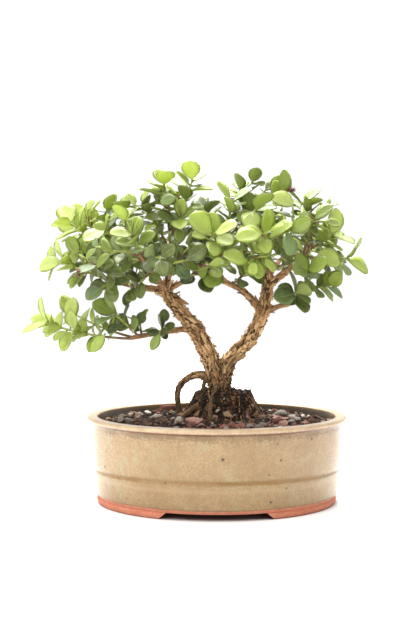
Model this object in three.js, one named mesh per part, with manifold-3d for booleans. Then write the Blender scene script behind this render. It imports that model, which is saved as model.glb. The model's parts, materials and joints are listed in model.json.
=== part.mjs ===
// A dwarf natal plum grown as a bonsai in an oval stoneware pot, in millimetres, +Z up, front towards -Y.
// A low oval pot on two curved feet holds a domed bed of gritty soil over two drainage holes with mesh screens.
// The tree has two leaning trunks that part low down in a V, surface roots with one that arches clear of the soil,
// woody boughs, and leafy shoots that carry round leaves in opposite pairs, each pair turned from the one below.
import * as THREE from "three";
import { mergeVertices } from "three/addons/utils/BufferGeometryUtils.js";
import Module from "manifold-3d";

const wasm = await Module();
wasm.setup();

// Clearance between pieces that touch on the real object
const SEAT_GAP = 0.3;

// Pot: half width and half depth over the lip, and the outer wall as (inset from the lip, height)
const POT_HALF_WIDTH = 75;
const POT_HALF_DEPTH = 57.5;
const POT_HEIGHT = 50;
const POT_SIDES = 34;
const FOOT_HEIGHT = 2.2;
const FLOOR_TOP = 8;
const LIP_INNER_INSET = 6.4;
const POT_WALL = [
  [9.5, FOOT_HEIGHT],
  [7.4, 4.2],
  [6.4, 8],
  [4.6, 19.5],
  [4.9, 20.8],
  [3.9, 22.4],
  [2.6, 46.4],
  [0.2, 47.2],
  [0, 49],
  [0.9, POT_HEIGHT],
  [LIP_INNER_INSET - 0.9, POT_HEIGHT],
  [LIP_INNER_INSET, 49],
  [7.4, 45],
  [10.5, 12],
  [13.5, FLOOR_TOP],
];
const FOOT_OUTER_INSET = 9.8;
const FOOT_INNER_INSET = 19;
const FOOT_CUT_HALF_WIDTH = 31;
const FOOT_CUT_SLOPE = 4;
const DRAIN_RADIUS = 6;
const DRAIN_SPACING = 60;

// Mesh screens over the drainage holes
const SCREEN_SIDE = 18;
const SCREEN_THICKNESS = 0.8;
const SCREEN_HOLE = 3.6;
const SCREEN_PITCH = 5.4;

// Soil: height at the wall, rise to the middle, and the root mound that the trunk stands in
const SOIL_EDGE = 44.6;
const SOIL_CROWN = 4;
const SOIL_RINGS = [0.15, 0.24, 0.34, 0.62, 1];
const MOUND = { x: 4, y: 8, halfWidth: 21, halfDepth: 17, height: 14 };
const PEBBLE_COUNT = 22;
const PEBBLE_CLEAR = 12;
const PEBBLE_SIZE = [1.8, 3.3];
const PEBBLE_SEED = 41;

// Wood: every trunk, bough and root is a chain of [x, y, z, radius]
const TRUNK_SIDES = 8;
const BOUGH_SIDES = 5;
const BARK_RIDGE = 0.09;
const TRUNKS = {
  trunk_left: [
    [1.8, 8, 46, 6.8],
    [1, 8, 60, 5.8],
    [-1, 8, 73, 5.1],
    [-4.6, 7, 83.8, 4.8],
    [-8.5, 7, 90.8, 4.5],
    [-12.1, 6, 98.4, 4.4],
    [-17.2, 6, 104.8, 4.1],
    [-22.9, 5, 111.6, 3.8],
    [-27.3, 5, 117.6, 3.6],
    [-30, 5, 123.6, 3.1],
  ],
  trunk_right: [
    [2.6, 8, 46, 6.2],
    [3, 8, 60, 5.2],
    [5.6, 8, 77, 4.8],
    [11.6, 8, 84.8, 4.3],
    [17, 9, 90, 4.1],
    [21.9, 9, 96.7, 3.9],
    [25, 9, 103.7, 3.8],
    [27.3, 9, 109.5, 3.8],
    [29, 10, 117.1, 3.3],
    [30.5, 10, 127.7, 3.1],
    [29.8, 10, 136.4, 2.5],
    [27.8, 11, 144.4, 2],
    [24.4, 11, 151.6, 1.6],
  ],
};
const BOUGHS = {
  low_left: [
    [-12.5, 5, 99, 2.4],
    [-21.2, 4, 98.9, 1.8],
    [-30.6, 1, 97.2, 1.5],
    [-38.8, -2, 96.2, 1.4],
    [-44.7, -5, 95.5, 1.6],
    [-49.9, -7, 94.4, 1.1],
  ],
  left_low: [
    [-29.3, 4, 121.9, 2.4],
    [-37.3, 2, 122.5, 1.8],
    [-45.1, -2, 123.7, 1.6],
    [-56.2, -6, 126.6, 1.3],
    [-67.3, -9, 130.6, 1],
  ],
  left_high: [
    [-31, 6, 123.6, 1.9],
    [-41.2, 8, 132.9, 1.6],
    [-53.1, 10, 142.3, 1.3],
    [-66, 10, 149.4, 1],
  ],
  mid_high: [
    [-29.3, 3, 123.6, 2.2],
    [-26.8, 0, 134, 1.8],
    [-25.5, -3, 144.9, 1.5],
    [-23.2, -5, 155.7, 1.1],
  ],
  inner_right: [
    [-28.2, 5, 122.4, 1.9],
    [-17.8, 8, 127.7, 1.5],
    [-10, 12, 134.1, 1.2],
    [-4, 12, 143.4, 0.9],
  ],
  left_front: [
    [-29.8, 1, 122.5, 1.7],
    [-34.1, -14, 130, 1.4],
    [-38.2, -27, 135.5, 1.1],
    [-41.4, -36, 142.4, 0.9],
  ],
  left_rear: [
    [-30, 6, 122.4, 1.7],
    [-36, 22, 130, 1.4],
    [-44, 36, 137, 1.1],
    [-54, 46, 143, 0.9],
  ],
  inner_left: [
    [27.2, 9, 109.4, 2.6],
    [18.9, 6, 118.2, 2.1],
    [12.9, 3, 123, 1.9],
    [4.9, -2, 126.9, 1.6],
    [1.4, -8, 134, 1.3],
    [3.1, -14, 142.9, 0.9],
  ],
  right_high: [
    [24.4, 11, 151.6, 1.6],
    [19.6, 8, 159.8, 1.2],
    [16, 6, 166.7, 0.9],
  ],
  right_front: [
    [30, 8, 133, 1.8],
    [28.2, -8, 139.7, 1.4],
    [27.5, -22, 143.9, 1.1],
    [29.2, -32, 148, 0.9],
  ],
  right_outer: [
    [31.4, 9, 124.7, 2.2],
    [39.1, 7, 131.8, 1.9],
    [44.4, 4, 135.8, 1.6],
    [51.1, 0, 142.1, 1.2],
    [54.8, -3, 148.9, 0.9],
  ],
  low_right: [
    [29, 9, 108.9, 2],
    [35.9, 6, 112.2, 1.6],
    [42.6, 2, 114.1, 1.4],
    [48, -2, 118.5, 1.2],
    [52.9, -5, 124.3, 0.9],
  ],
  right_rear: [
    [30.3, 11, 131, 1.8],
    [38, 26, 139, 1.3],
    [46, 38, 146, 1],
  ],
  mid_rear: [
    [28, 12, 142, 1.6],
    [18, 26, 149, 1.2],
    [8, 38, 154, 0.9],
  ],
};
const ROOTS = {
  root_arch: [
    [-1, 9, 70, 2.1],
    [-6.5, 10, 71.9, 1.9],
    [-11.8, 11, 72.2, 1.8],
    [-17, 12, 70, 1.7],
    [-21.6, 12, 65.6, 1.7],
    [-23.2, 12, 60.3, 1.7],
    [-22.8, 12, 54.5, 1.7],
    [-22, 12, 48, 1.6],
    [-20.5, 12, 40, 1.3],
  ],
  root_prop: [
    [-4, 8, 72, 1.5],
    [-7, 7, 68, 1.3],
    [-7.6, 6, 60, 1.3],
    [-7, 6, 50, 1.2],
  ],
  root_left: [
    [-2, 5, 60, 2.2],
    [-9, 0, 56.5, 1.7],
    [-15.5, -4, 52.4, 1.5],
    [-21, -7, 48.6, 1.2],
    [-27, -9, 42, 0.9],
  ],
  root_front: [
    [0, 4, 65, 2.2],
    [-2.4, -3, 60.4, 1.6],
    [-3.6, -8.5, 54.6, 1.4],
    [-3.2, -13, 48.6, 1.2],
    [-1, -16, 41, 0.9],
  ],
  root_right: [
    [5, 6, 60, 2.2],
    [14, 4, 61, 1.5],
    [20.5, 2, 57.6, 1.3],
    [24.6, 1, 50.5, 1.2],
    [27, 0, 42, 0.9],
  ],
  root_back: [
    [4, 12, 60, 2.2],
    [8, 20, 60, 1.5],
    [12, 26.5, 54.5, 1.3],
    [15, 30, 47.5, 1.1],
    [17, 32, 41, 0.9],
  ],
};

// Leaf: outline as (share of the length, share of the width) along one side, from the stalk to the tip
const LEAF_SIDE = {
  large: [
    [0.22, 0.32],
    [0.52, 0.5],
    [0.83, 0.35],
  ],
  small: [
    [0.3, 0.43],
    [0.72, 0.45],
  ],
};
const SMALL_LEAF = 13;
const LEAF_THICKNESS = 0.7;
const LEAF_FOLD = 0.22;
const LEAF_WIDTH_SHARE = 0.78;
const LEAF_GAP = 0.35;
const LEAF_TRIES = 24;
const STEM_RADIUS = [0.8, 0.6];
const STALK_HALF = 0.6;
const BUD_LENGTH = 1.6;
const PAIR_START = 0.34;
const PAIR_END = 1.4;
const OPEN_SIDE = 64;
const OPEN_TIP = 46;
const CROWN_HEART = new THREE.Vector3(-8, 4, 112);
const LIGHT = { outward: 0.75, up: 0.55, front: 0.4 };
const SHOOT_SEED = 977;

// Leafy shoots: name, bough, share along it, tip x, y, z, rise of the bend, pairs, roll, leaf length, tone
const SHOOTS = [
  ["low_left_tip", "low_left", 1, -97, -13, 104, -4, 5, 70, 14.5, 0.75],
  ["low_left_fork", "low_left", 0.9, -83, 4, 108, -3, 3, 30, 13.4, 0.7],
  ["low_left_up", "low_left", 0.8, -58, -13, 109, 1, 2, 10, 16, 0.35],
  ["low_left_bud", "low_left", 0.74, -44.6, 3, 103.2, 0, 2, 20, 9, 0.1],
  ["low_left_inner", "low_left", 0.42, -31, -7, 100.5, 0, 2, 30, 9.5, 0.05],
  ["left_low_tip", "left_low", 1, -88, -14, 139.5, -2, 3, 60, 14, 0.8],
  ["left_low_front", "left_low", 0.75, -62, -28, 124.5, 2, 3, 20, 11, 0.05],
  ["left_low_under", "left_low", 0.5, -50, -17, 121.5, 0, 2, 60, 12, 0.35],
  ["left_mid", "left_low", 0.9, -78.5, -4, 141.7, 2, 3, 10, 13.4, 0.15],
  ["left_mid_front", "left_low", 0.62, -66, -29, 136.5, 3, 3, 40, 13.4, 0.1],
  ["left_tip", "left_high", 1, -85, 2, 161, -2, 4, 50, 15, 0.9],
  ["left_crest_1", "left_high", 0.92, -76.5, 2, 162.4, 3, 3, 20, 12, 0.4],
  ["left_crest_2", "left_high", 0.8, -64, 10, 168.4, 2, 3, 50, 12, 0.35],
  ["left_crest_3", "left_high", 0.6, -54, 2, 169.5, 3, 4, 25, 13.4, 0.4],
  ["left_face", "left_high", 0.5, -62.5, -18, 156, 4, 3, 35, 13.4, 0.45],
  ["left_back", "left_high", 0.72, -74, 30, 158.5, 2, 3, 25, 13, 0.4],
  ["crown_top", "mid_high", 1, -13.5, 1, 186, 2, 4, 40, 15, 0.8],
  ["crown_top_left", "mid_high", 0.84, -30, -9, 183, 3, 4, 60, 16, 0.5],
  ["mid_face", "mid_high", 0.76, -19.8, -20, 163, 3, 3, 70, 15, 0.45],
  ["mid_left_crest", "mid_high", 0.6, -43.4, 2, 172, 4, 4, 20, 12, 0.35],
  ["mid_back", "mid_high", 0.48, -30, 28, 170.5, 5, 3, 60, 13, 0.35],
  ["inner_low", "inner_right", 0.45, -8.5, -8, 130, 2, 2, 25, 12, 0.05],
  ["inner_face", "inner_right", 0.62, -9.5, -18, 143, 3, 3, 40, 12, 0.15],
  ["inner_crest", "inner_right", 1, -6.5, 4, 168.4, 0, 4, 60, 13.4, 0.25],
  ["inner_back", "inner_right", 0.85, -9, 38, 160.3, 4, 3, 15, 13, 0.35],
  ["front_spray", "left_front", 1, -44.7, -43, 152.9, 2, 3, 20, 14, 0.7],
  ["front_dark", "left_front", 0.8, -29, -46, 140, 2, 3, 50, 12, 0],
  ["front_right", "left_front", 0.36, -15.5, -36, 139.1, 4, 3, 10, 12, 0.1],
  ["front_left", "left_front", 0.9, -57, -43, 143.3, 3, 3, 40, 12, 0.2],
  ["front_low", "left_front", 0.5, -42, -28, 127, 0, 2, 15, 11, 0],
  ["rear_left", "left_rear", 1, -68, 56, 150, 1, 3, 30, 13, 0.5],
  ["rear_mid", "left_rear", 0.72, -37, 58, 149, 2, 3, 60, 13, 0.4],
  ["rear_side", "left_rear", 0.8, -76, 32, 139.5, 1, 3, 20, 13, 0.5],
  ["inner_left_tip", "inner_left", 1, 9, -16, 173.2, 0, 4, 15, 14, 0.5],
  ["inner_left_face", "inner_left", 0.86, -1.8, -36, 154, 4, 3, 5, 16, 0.85],
  ["inner_left_low", "inner_left", 0.68, -6, -31, 138, 2, 2, 80, 17, 0.9],
  ["inner_left_hang", "inner_left", 0.5, 22, -9, 134, 2, 3, 40, 13.4, 0.5],
  ["right_top", "right_high", 1, 13.5, 8, 181.6, 0, 3, 30, 12, 0.5],
  ["right_top_2", "right_high", 0.55, 25.5, 4, 175.6, 3, 3, 75, 12, 0.3],
  ["right_face", "right_high", 0.4, 21.5, -22, 166.6, 5, 3, 50, 15, 0.6],
  ["right_crest", "right_high", 0.12, 38, -6, 174, 6, 4, 20, 15, 0.55],
  ["right_front_tip", "right_front", 1, 24.5, -45, 152.9, 2, 3, 10, 17, 0.9],
  ["right_front_low", "right_front", 0.62, 17, -38, 137.3, 2, 2, 60, 15, 0.85],
  ["right_front_out", "right_front", 0.82, 40, -44, 153.9, 3, 3, 30, 13.4, 0.4],
  ["right_crest_2", "right_outer", 1, 50, 2, 173.1, 0, 4, 40, 14, 0.4],
  ["right_crest_3", "right_outer", 0.7, 54, -20, 162, 3, 3, 5, 13.4, 0.2],
  ["right_tip_high", "right_outer", 0.86, 67, -6, 153.5, 0, 3, 60, 16, 0.8],
  ["right_tip_low", "right_outer", 0.7, 76, -8, 140, 0, 4, 40, 15, 0.35],
  ["low_right_front", "low_right", 0.7, 43.5, -24, 121, 1, 3, 10, 13.4, 0.05],
  ["low_right_tip", "low_right", 1, 65, -8, 124.5, -1, 4, 30, 12, 0.5],
  ["low_right_up", "low_right", 0.88, 49.5, -26, 133.7, 2, 3, 15, 13.4, 0.35],
  ["right_rear_tip", "right_rear", 1, 60, 50, 155, 1, 3, 30, 13, 0.5],
  ["right_rear_mid", "right_rear", 0.8, 35, 54, 160, 3, 4, 60, 13, 0.4],
  ["right_rear_side", "right_rear", 0.5, 66, 27, 146, 2, 4, 20, 13, 0.4],
  ["mid_rear_tip", "mid_rear", 1, 2, 56, 160, 2, 4, 45, 13, 0.4],
];

const COLOURS = {
  glaze: 0xb9a27c,
  screen: 0x2f302c,
  soil: 0x3d2b22,
  bark: 0x8a6b50,
  leafDark: 0x3f5f2c,
  leafLight: 0xa9c455,
};

// A repeatable source of numbers from 0 to 1
function drawFrom(seed) {
  let state = seed >>> 0;
  return () => {
    state = (Math.imul(state, 1664525) + 1013904223) >>> 0;
    return state / 4294967296;
  };
}

function vector([x, y, z]) {
  return new THREE.Vector3(x, y, z);
}

// A closed three.js geometry as a solid that can be joined and cut
function solidOf(geometry) {
  const bare = new THREE.BufferGeometry().setAttribute(
    "position",
    geometry.getAttribute("position"),
  );
  if (geometry.index) bare.setIndex(geometry.index);
  const merged = mergeVertices(bare, 1e-4);
  return new wasm.Manifold(
    new wasm.Mesh({
      numProp: 3,
      vertProperties: new Float32Array(merged.attributes.position.array),
      triVerts: new Uint32Array(merged.index.array),
    }),
  );
}

function geometryOf(solid) {
  const mesh = solid.getMesh();
  return new THREE.BufferGeometry()
    .setAttribute("position", new THREE.BufferAttribute(mesh.vertProperties, mesh.numProp))
    .setIndex(new THREE.BufferAttribute(mesh.triVerts, 1));
}

function joined(solids) {
  return solids.reduce((whole, next) => whole.add(next));
}

// The largest body of a solid, without scraps that a cut has left
function mainBody(solid) {
  const bodies = solid.decompose();
  return bodies.reduce((best, next) => (next.volume() > best.volume() ? next : best));
}

// A closed skin through rings of equally many points, with a fan over the first and the last ring
function loft(rings) {
  const sides = rings[0].length;
  const positions = rings.flat().flatMap((p) => [p.x, p.y, p.z]);
  const faces = [];
  for (let ring = 0; ring + 1 < rings.length; ring++)
    for (let side = 0; side < sides; side++) {
      const here = ring * sides + side;
      const beside = ring * sides + ((side + 1) % sides);
      faces.push(here, beside, here + sides, beside, beside + sides, here + sides);
    }
  const last = (rings.length - 1) * sides;
  for (let side = 1; side + 1 < sides; side++) {
    faces.push(0, side + 1, side);
    faces.push(last, last + side, last + side + 1);
  }
  return new THREE.BufferGeometry()
    .setAttribute("position", new THREE.Float32BufferAttribute(positions, 3))
    .setIndex(faces);
}

// A tapered tube along a chain of points, with the radius at each, and an optional ridge on its sides
function limb(points, radii, sides, ridge = 0) {
  let normal = new THREE.Vector3(0.3, -0.9, 0.2);
  const rings = points.map((point, i) => {
    const before = points[Math.max(0, i - 1)];
    const after = points[Math.min(points.length - 1, i + 1)];
    const along = after.clone().sub(before).normalize();
    normal = normal.clone().addScaledVector(along, -normal.dot(along)).normalize();
    const across = along.clone().cross(normal);
    return Array.from({ length: sides }, (_, side) => {
      const turn = (2 * Math.PI * side) / sides;
      const uneven = (side % 2 ? 1 : -1) * ridge + 0.5 * ridge * Math.sin(1.7 * i + 2.3 * side);
      const reach = radii[i] * (1 + uneven);
      return point
        .clone()
        .addScaledVector(normal, reach * Math.cos(turn))
        .addScaledVector(across, reach * Math.sin(turn));
    });
  });
  return solidOf(loft(rings));
}

// Every trunk, bough and root as one grown body, grown outwards by the given amount
function wood(grow) {
  const limbs = [];
  for (const [chains, sides, ridge] of [
    [TRUNKS, TRUNK_SIDES, BARK_RIDGE],
    [BOUGHS, BOUGH_SIDES, 0],
    [ROOTS, BOUGH_SIDES, 0],
  ])
    for (const chain of Object.values(chains))
      limbs.push(
        limb(
          chain.map(vector),
          chain.map((p) => p[3] + grow),
          sides,
          ridge,
        ),
      );
  return joined(limbs).simplify(0.03);
}

// Pot

function ovalRing(inset, height, sides = POT_SIDES) {
  return Array.from({ length: sides }, (_, side) => {
    const turn = (2 * Math.PI * side) / sides;
    return new THREE.Vector3(
      (POT_HALF_WIDTH - inset) * Math.cos(turn),
      (POT_HALF_DEPTH - inset) * Math.sin(turn),
      height,
    );
  });
}

function pot() {
  const body = solidOf(loft(POT_WALL.map(([inset, height]) => ovalRing(inset, height))));
  const sunk = FOOT_HEIGHT + 1;
  const outer = loft([ovalRing(FOOT_OUTER_INSET + 1.2, 0), ovalRing(FOOT_OUTER_INSET, sunk)]);
  const inner = loft([ovalRing(FOOT_INNER_INSET, -1), ovalRing(FOOT_INNER_INSET, sunk + 1)]);
  const cutShape = new THREE.Shape([
    new THREE.Vector2(-FOOT_CUT_HALF_WIDTH, -0.1),
    new THREE.Vector2(FOOT_CUT_HALF_WIDTH, -0.1),
    new THREE.Vector2(FOOT_CUT_HALF_WIDTH - FOOT_CUT_SLOPE, sunk + 0.1),
    new THREE.Vector2(-FOOT_CUT_HALF_WIDTH + FOOT_CUT_SLOPE, sunk + 0.1),
  ]);
  const cut = new THREE.ExtrudeGeometry(cutShape, {
    depth: 2 * POT_HALF_DEPTH,
    bevelEnabled: false,
  });
  cut.rotateX(Math.PI / 2);
  cut.translate(0, POT_HALF_DEPTH, 0);
  const feet = solidOf(outer).subtract(solidOf(inner)).subtract(solidOf(cut));
  let whole = body.add(feet);
  for (const side of [-1, 1]) {
    const drain = new THREE.CylinderGeometry(DRAIN_RADIUS, DRAIN_RADIUS, 2 * FLOOR_TOP, 12);
    drain.rotateX(Math.PI / 2);
    drain.translate((side * DRAIN_SPACING) / 2, 0, FLOOR_TOP);
    whole = whole.subtract(solidOf(drain));
  }
  return whole;
}

// Drainage screens

function block(width, depth, height, x, y, z) {
  return solidOf(new THREE.BoxGeometry(width, depth, height).translate(x, y, z));
}

function screen(side) {
  const x = (side * DRAIN_SPACING) / 2;
  const z = FLOOR_TOP + SEAT_GAP + SCREEN_THICKNESS / 2;
  let plate = block(SCREEN_SIDE, SCREEN_SIDE, SCREEN_THICKNESS, x, 0, z);
  for (const row of [-1, 0, 1])
    for (const column of [-1, 0, 1]) {
      const [holeX, holeY] = [x + column * SCREEN_PITCH, row * SCREEN_PITCH];
      plate = plate.subtract(block(SCREEN_HOLE, SCREEN_HOLE, 3 * SCREEN_THICKNESS, holeX, holeY, z));
    }
  return plate;
}

// Soil

function potInside(height) {
  const [low, high] = [POT_WALL.at(-2), POT_WALL.at(-3)];
  if (height < low[1]) {
    const floor = POT_WALL.at(-1);
    return floor[0] + ((low[0] - floor[0]) * (height - floor[1])) / (low[1] - floor[1]);
  }
  return low[0] + ((high[0] - low[0]) * (height - low[1])) / (high[1] - low[1]);
}

function soilHeight(x, y) {
  const dome = 1 - (x / POT_HALF_WIDTH) ** 2 - (y / POT_HALF_DEPTH) ** 2;
  const away = Math.hypot((x - MOUND.x) / MOUND.halfWidth, (y - MOUND.y) / MOUND.halfDepth);
  const share = THREE.MathUtils.smoothstep(1.2 - away, 0, 0.55);
  const rough = 0.5 * Math.sin(0.41 * x + 0.8) * Math.sin(0.37 * y) + 0.4 * Math.sin(0.9 * x - 0.7 * y);
  return SOIL_EDGE + SOIL_CROWN * Math.max(0, dome) + MOUND.height * share + rough;
}

function pebbles() {
  const draw = drawFrom(PEBBLE_SEED);
  return Array.from({ length: PEBBLE_COUNT }, () => {
    const turn = 2 * Math.PI * draw();
    const spread = 0.45 + 0.55 * Math.sqrt(draw());
    const x = spread * (POT_HALF_WIDTH - PEBBLE_CLEAR) * Math.cos(turn);
    const y = spread * (POT_HALF_DEPTH - PEBBLE_CLEAR) * Math.sin(turn);
    const size = THREE.MathUtils.lerp(...PEBBLE_SIZE, draw());
    const stone = new THREE.IcosahedronGeometry(size, 0);
    stone.scale(1, 0.7 + 0.3 * draw(), 0.6 + 0.2 * draw());
    stone.rotateZ(2 * Math.PI * draw());
    stone.translate(x, y, soilHeight(x, y) + 0.35 * size);
    return solidOf(stone);
  });
}

function soil(pocketWood) {
  const foot = FLOOR_TOP + SEAT_GAP;
  const sides = Array.from({ length: POT_SIDES }, (_, side) => (2 * Math.PI * side) / POT_SIDES);
  const wallPoint = (turn, height) => {
    const inset = potInside(height) + SEAT_GAP;
    return [(POT_HALF_WIDTH - inset) * Math.cos(turn), (POT_HALF_DEPTH - inset) * Math.sin(turn)];
  };
  const wallRing = (height) =>
    sides.map((turn) => {
      const [x, y] = wallPoint(turn, height);
      return new THREE.Vector3(x, y, height);
    });
  const topRing = (share) =>
    sides.map((turn) => {
      const [wallX, wallY] = wallPoint(turn, SOIL_EDGE - 1);
      const x = MOUND.x + share * (wallX - MOUND.x);
      const y = MOUND.y + share * (wallY - MOUND.y);
      return new THREE.Vector3(x, y, soilHeight(x, y));
    });
  const rings = [wallRing(foot), wallRing(12), ...SOIL_RINGS.toReversed().map(topRing)];
  const bed = joined([solidOf(loft(rings)), ...pebbles()]);
  const room = SCREEN_SIDE + 2 * SEAT_GAP;
  const pockets = [-1, 1].map((side) =>
    block(room, room, 2 * (SCREEN_THICKNESS + SEAT_GAP), (side * DRAIN_SPACING) / 2, 0, foot),
  );
  return mainBody(bed.subtract(joined([pocketWood, ...pockets]))).simplify(0.05);
}

// Leaves

// One leaf as its root point, its own three directions, its size and the corners of its edge
function leafBlade(outline, base, along, face, length, width) {
  const across = face.clone().cross(along);
  const side = outline.map(([x, y]) => [x * length, y * width]);
  const flat = [
    [0, -STALK_HALF],
    [0, STALK_HALF],
    ...side,
    [length, 0],
    ...side.toReversed().map(([x, y]) => [x, -y]),
  ];
  const corners = flat.map(([x, y]) =>
    base
      .clone()
      .addScaledVector(along, x)
      .addScaledVector(across, y)
      .addScaledVector(face, Math.abs(y) * LEAF_FOLD),
  );
  return { base, along, across, face, length, width, flat, corners, tip: 2 + outline.length };
}

// True if the line from start to end comes within the margin of the leaf's slab
function enters(leaf, start, end, margin) {
  const ends = [start, end].map((point) => {
    const offset = point.clone().sub(leaf.base);
    return [offset.dot(leaf.along), offset.dot(leaf.across), offset.dot(leaf.face)];
  });
  let [near, far] = [0, 1];
  const clip = (from, to) => {
    if (from > 0 && to > 0) far = -1;
    else if (from > 0) near = Math.max(near, from / (from - to));
    else if (to > 0) far = Math.min(far, from / (from - to));
  };
  const below = -LEAF_THICKNESS / 2 - margin;
  const above = LEAF_THICKNESS / 2 + margin + 0.5 * leaf.width * LEAF_FOLD;
  clip(below - ends[0][2], below - ends[1][2]);
  clip(ends[0][2] - above, ends[1][2] - above);
  for (let i = 0; i < leaf.flat.length && near <= far; i++) {
    const [x0, y0] = leaf.flat[i];
    const [x1, y1] = leaf.flat[(i + 1) % leaf.flat.length];
    const size = Math.hypot(x1 - x0, y1 - y0);
    const reach = ([x, y]) => ((x - x0) * (y1 - y0) - (y - y0) * (x1 - x0)) / size - margin;
    clip(-reach(ends[0]) - 2 * margin, -reach(ends[1]) - 2 * margin);
  }
  return near <= far;
}

// The lines of a leaf that are tested against its neighbours: its edge beyond the stalk, and its rib
function leafLines(leaf) {
  const rim = leaf.corners.slice(2);
  const tip = leaf.corners[leaf.tip];
  const lines = rim.slice(1).map((corner, i) => [rim[i], corner]);
  return [...lines, [leaf.base.clone().lerp(tip, 0.3), tip], [rim[0], rim.at(-1)]];
}

function isClear(leaf, owner, ownStem, placed, lines) {
  const clearOf = (start, end, margin) => !enters(leaf, start, end, margin);
  return (
    placed.every(
      (other) =>
        other.base.distanceTo(leaf.base) > other.length + leaf.length + 2 ||
        (other.lines.every(([a, b]) => clearOf(a, b, LEAF_GAP)) &&
          leaf.lines.every(([a, b]) => !enters(other, a, b, LEAF_GAP))),
    ) &&
    lines.every(
      (line) => line.owner === owner || clearOf(line.start, line.end, LEAF_GAP + line.radius),
    ) &&
    ownStem.every(([a, b]) => clearOf(a, b, STEM_RADIUS[1]))
  );
}

// Shoots

function pointAlong(chain, share) {
  const place = share * (chain.length - 1);
  const index = Math.min(chain.length - 2, Math.floor(place));
  return vector(chain[index]).lerp(vector(chain[index + 1]), place - index);
}

// A shoot's stem: a curve that rises in an upright plane, from the heart of its bough to its tip
function shootStem([name, bough, share, x, y, z, rise, pairs, roll]) {
  const start = pointAlong(BOUGHS[bough], share);
  const tip = new THREE.Vector3(x, y, z);
  const bend = start.clone().lerp(tip, 0.5);
  bend.z += rise;
  const level = new THREE.Vector3(0, 0, 1).cross(tip.clone().sub(start)).normalize();
  const length = start.distanceTo(bend) * 0.5 + bend.distanceTo(tip) * 0.5 + start.distanceTo(tip) * 0.5;
  const at = (share) => {
    const point = start
      .clone()
      .multiplyScalar((1 - share) ** 2)
      .addScaledVector(bend, 2 * share * (1 - share))
      .addScaledVector(tip, share ** 2);
    const along = bend
      .clone()
      .sub(start)
      .multiplyScalar(1 - share)
      .addScaledVector(tip.clone().sub(bend), share)
      .normalize();
    return { point, along, upright: along.clone().cross(level) };
  };
  const end = 1 - PAIR_END / length;
  const shares = Array.from({ length: pairs }, (_, pair) =>
    pairs > 1 ? PAIR_START + ((end - PAIR_START) * pair) / (pairs - 1) : end,
  );
  return { name, level, length, roll, at, shares };
}

// A direction square to the stem, turned the given angle from level round the stem's own line
function turnedAside(stem, here, degrees) {
  const turn = THREE.MathUtils.degToRad(degrees);
  return stem.level
    .clone()
    .multiplyScalar(Math.cos(turn))
    .addScaledVector(here.upright, Math.sin(turn));
}

// The leaves of one shoot: opposite pairs from the tip down, each turned a quarter from the last.
// A leaf that would touch a neighbour is tried at other turns and tilts, then smaller, and is left out at last.
function shootLeaves(stem, index, size, placed, lines) {
  const draw = drawFrom(SHOOT_SEED * (index + 1));
  const outline = size > SMALL_LEAF ? LEAF_SIDE.large : LEAF_SIDE.small;
  const leaves = [];
  for (let pair = stem.shares.length - 1; pair >= 0; pair--) {
    const share = stem.shares[pair];
    const here = stem.at(share);
    const reach = 12 / stem.length;
    const skip = 3 / stem.length;
    const ownStem = [
      [stem.at(share + skip).point, stem.at(share + reach).point],
      [stem.at(share - skip).point, stem.at(share - reach).point],
    ];
    const light = here.point.clone().sub(CROWN_HEART).normalize().multiplyScalar(LIGHT.outward);
    light.add(new THREE.Vector3(0, -LIGHT.front, LIGHT.up));
    for (const side of [0, 2]) {
      const drawn = Array.from({ length: 7 }, draw);
      const outward = turnedAside(stem, here, stem.roll + 90 * (pair + side));
      const base = here.point.clone().addScaledVector(outward, STEM_RADIUS[1]);
      const grown = size * (0.8 + 0.22 * share) * (0.88 + 0.24 * drawn[0]);
      const width = grown * (LEAF_WIDTH_SHARE + 0.14 * (drawn[1] - 0.5));
      const open = pair === stem.shares.length - 1 ? OPEN_TIP : OPEN_SIDE;
      for (let attempt = 0; attempt < LEAF_TRIES; attempt++) {
        const swing = (attempt % 2 ? 1 : -1) * Math.ceil((attempt % 12) / 2);
        const lean = THREE.MathUtils.degToRad(open + 22 * (drawn[3] - 0.5) + 2 * Math.abs(swing));
        const turn = stem.roll + 90 * (pair + side) + 20 * (drawn[2] - 0.5) + 7 * swing;
        const along = turnedAside(stem, here, turn)
          .multiplyScalar(Math.sin(lean))
          .addScaledVector(here.along, Math.cos(lean));
        const face = light.clone().add(new THREE.Vector3(drawn[5] - 0.5, drawn[6] - 0.5, 0));
        face.addScaledVector(outward, -0.2 * swing).addScaledVector(here.along, 0.1 * attempt);
        face.addScaledVector(along, -face.dot(along)).normalize();
        const shrink = attempt < 12 ? 1 : 0.75;
        const leaf = leafBlade(outline, base, along, face, grown * shrink, width * shrink);
        leaf.lines = leafLines(leaf);
        if (!isClear(leaf, stem.name, ownStem, placed, lines)) continue;
        leaf.at = [pair, (((pair + side) % 4) + 4) % 4];
        leaves.push(leaf);
        placed.push(leaf);
        break;
      }
    }
  }
  return leaves;
}

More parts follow.
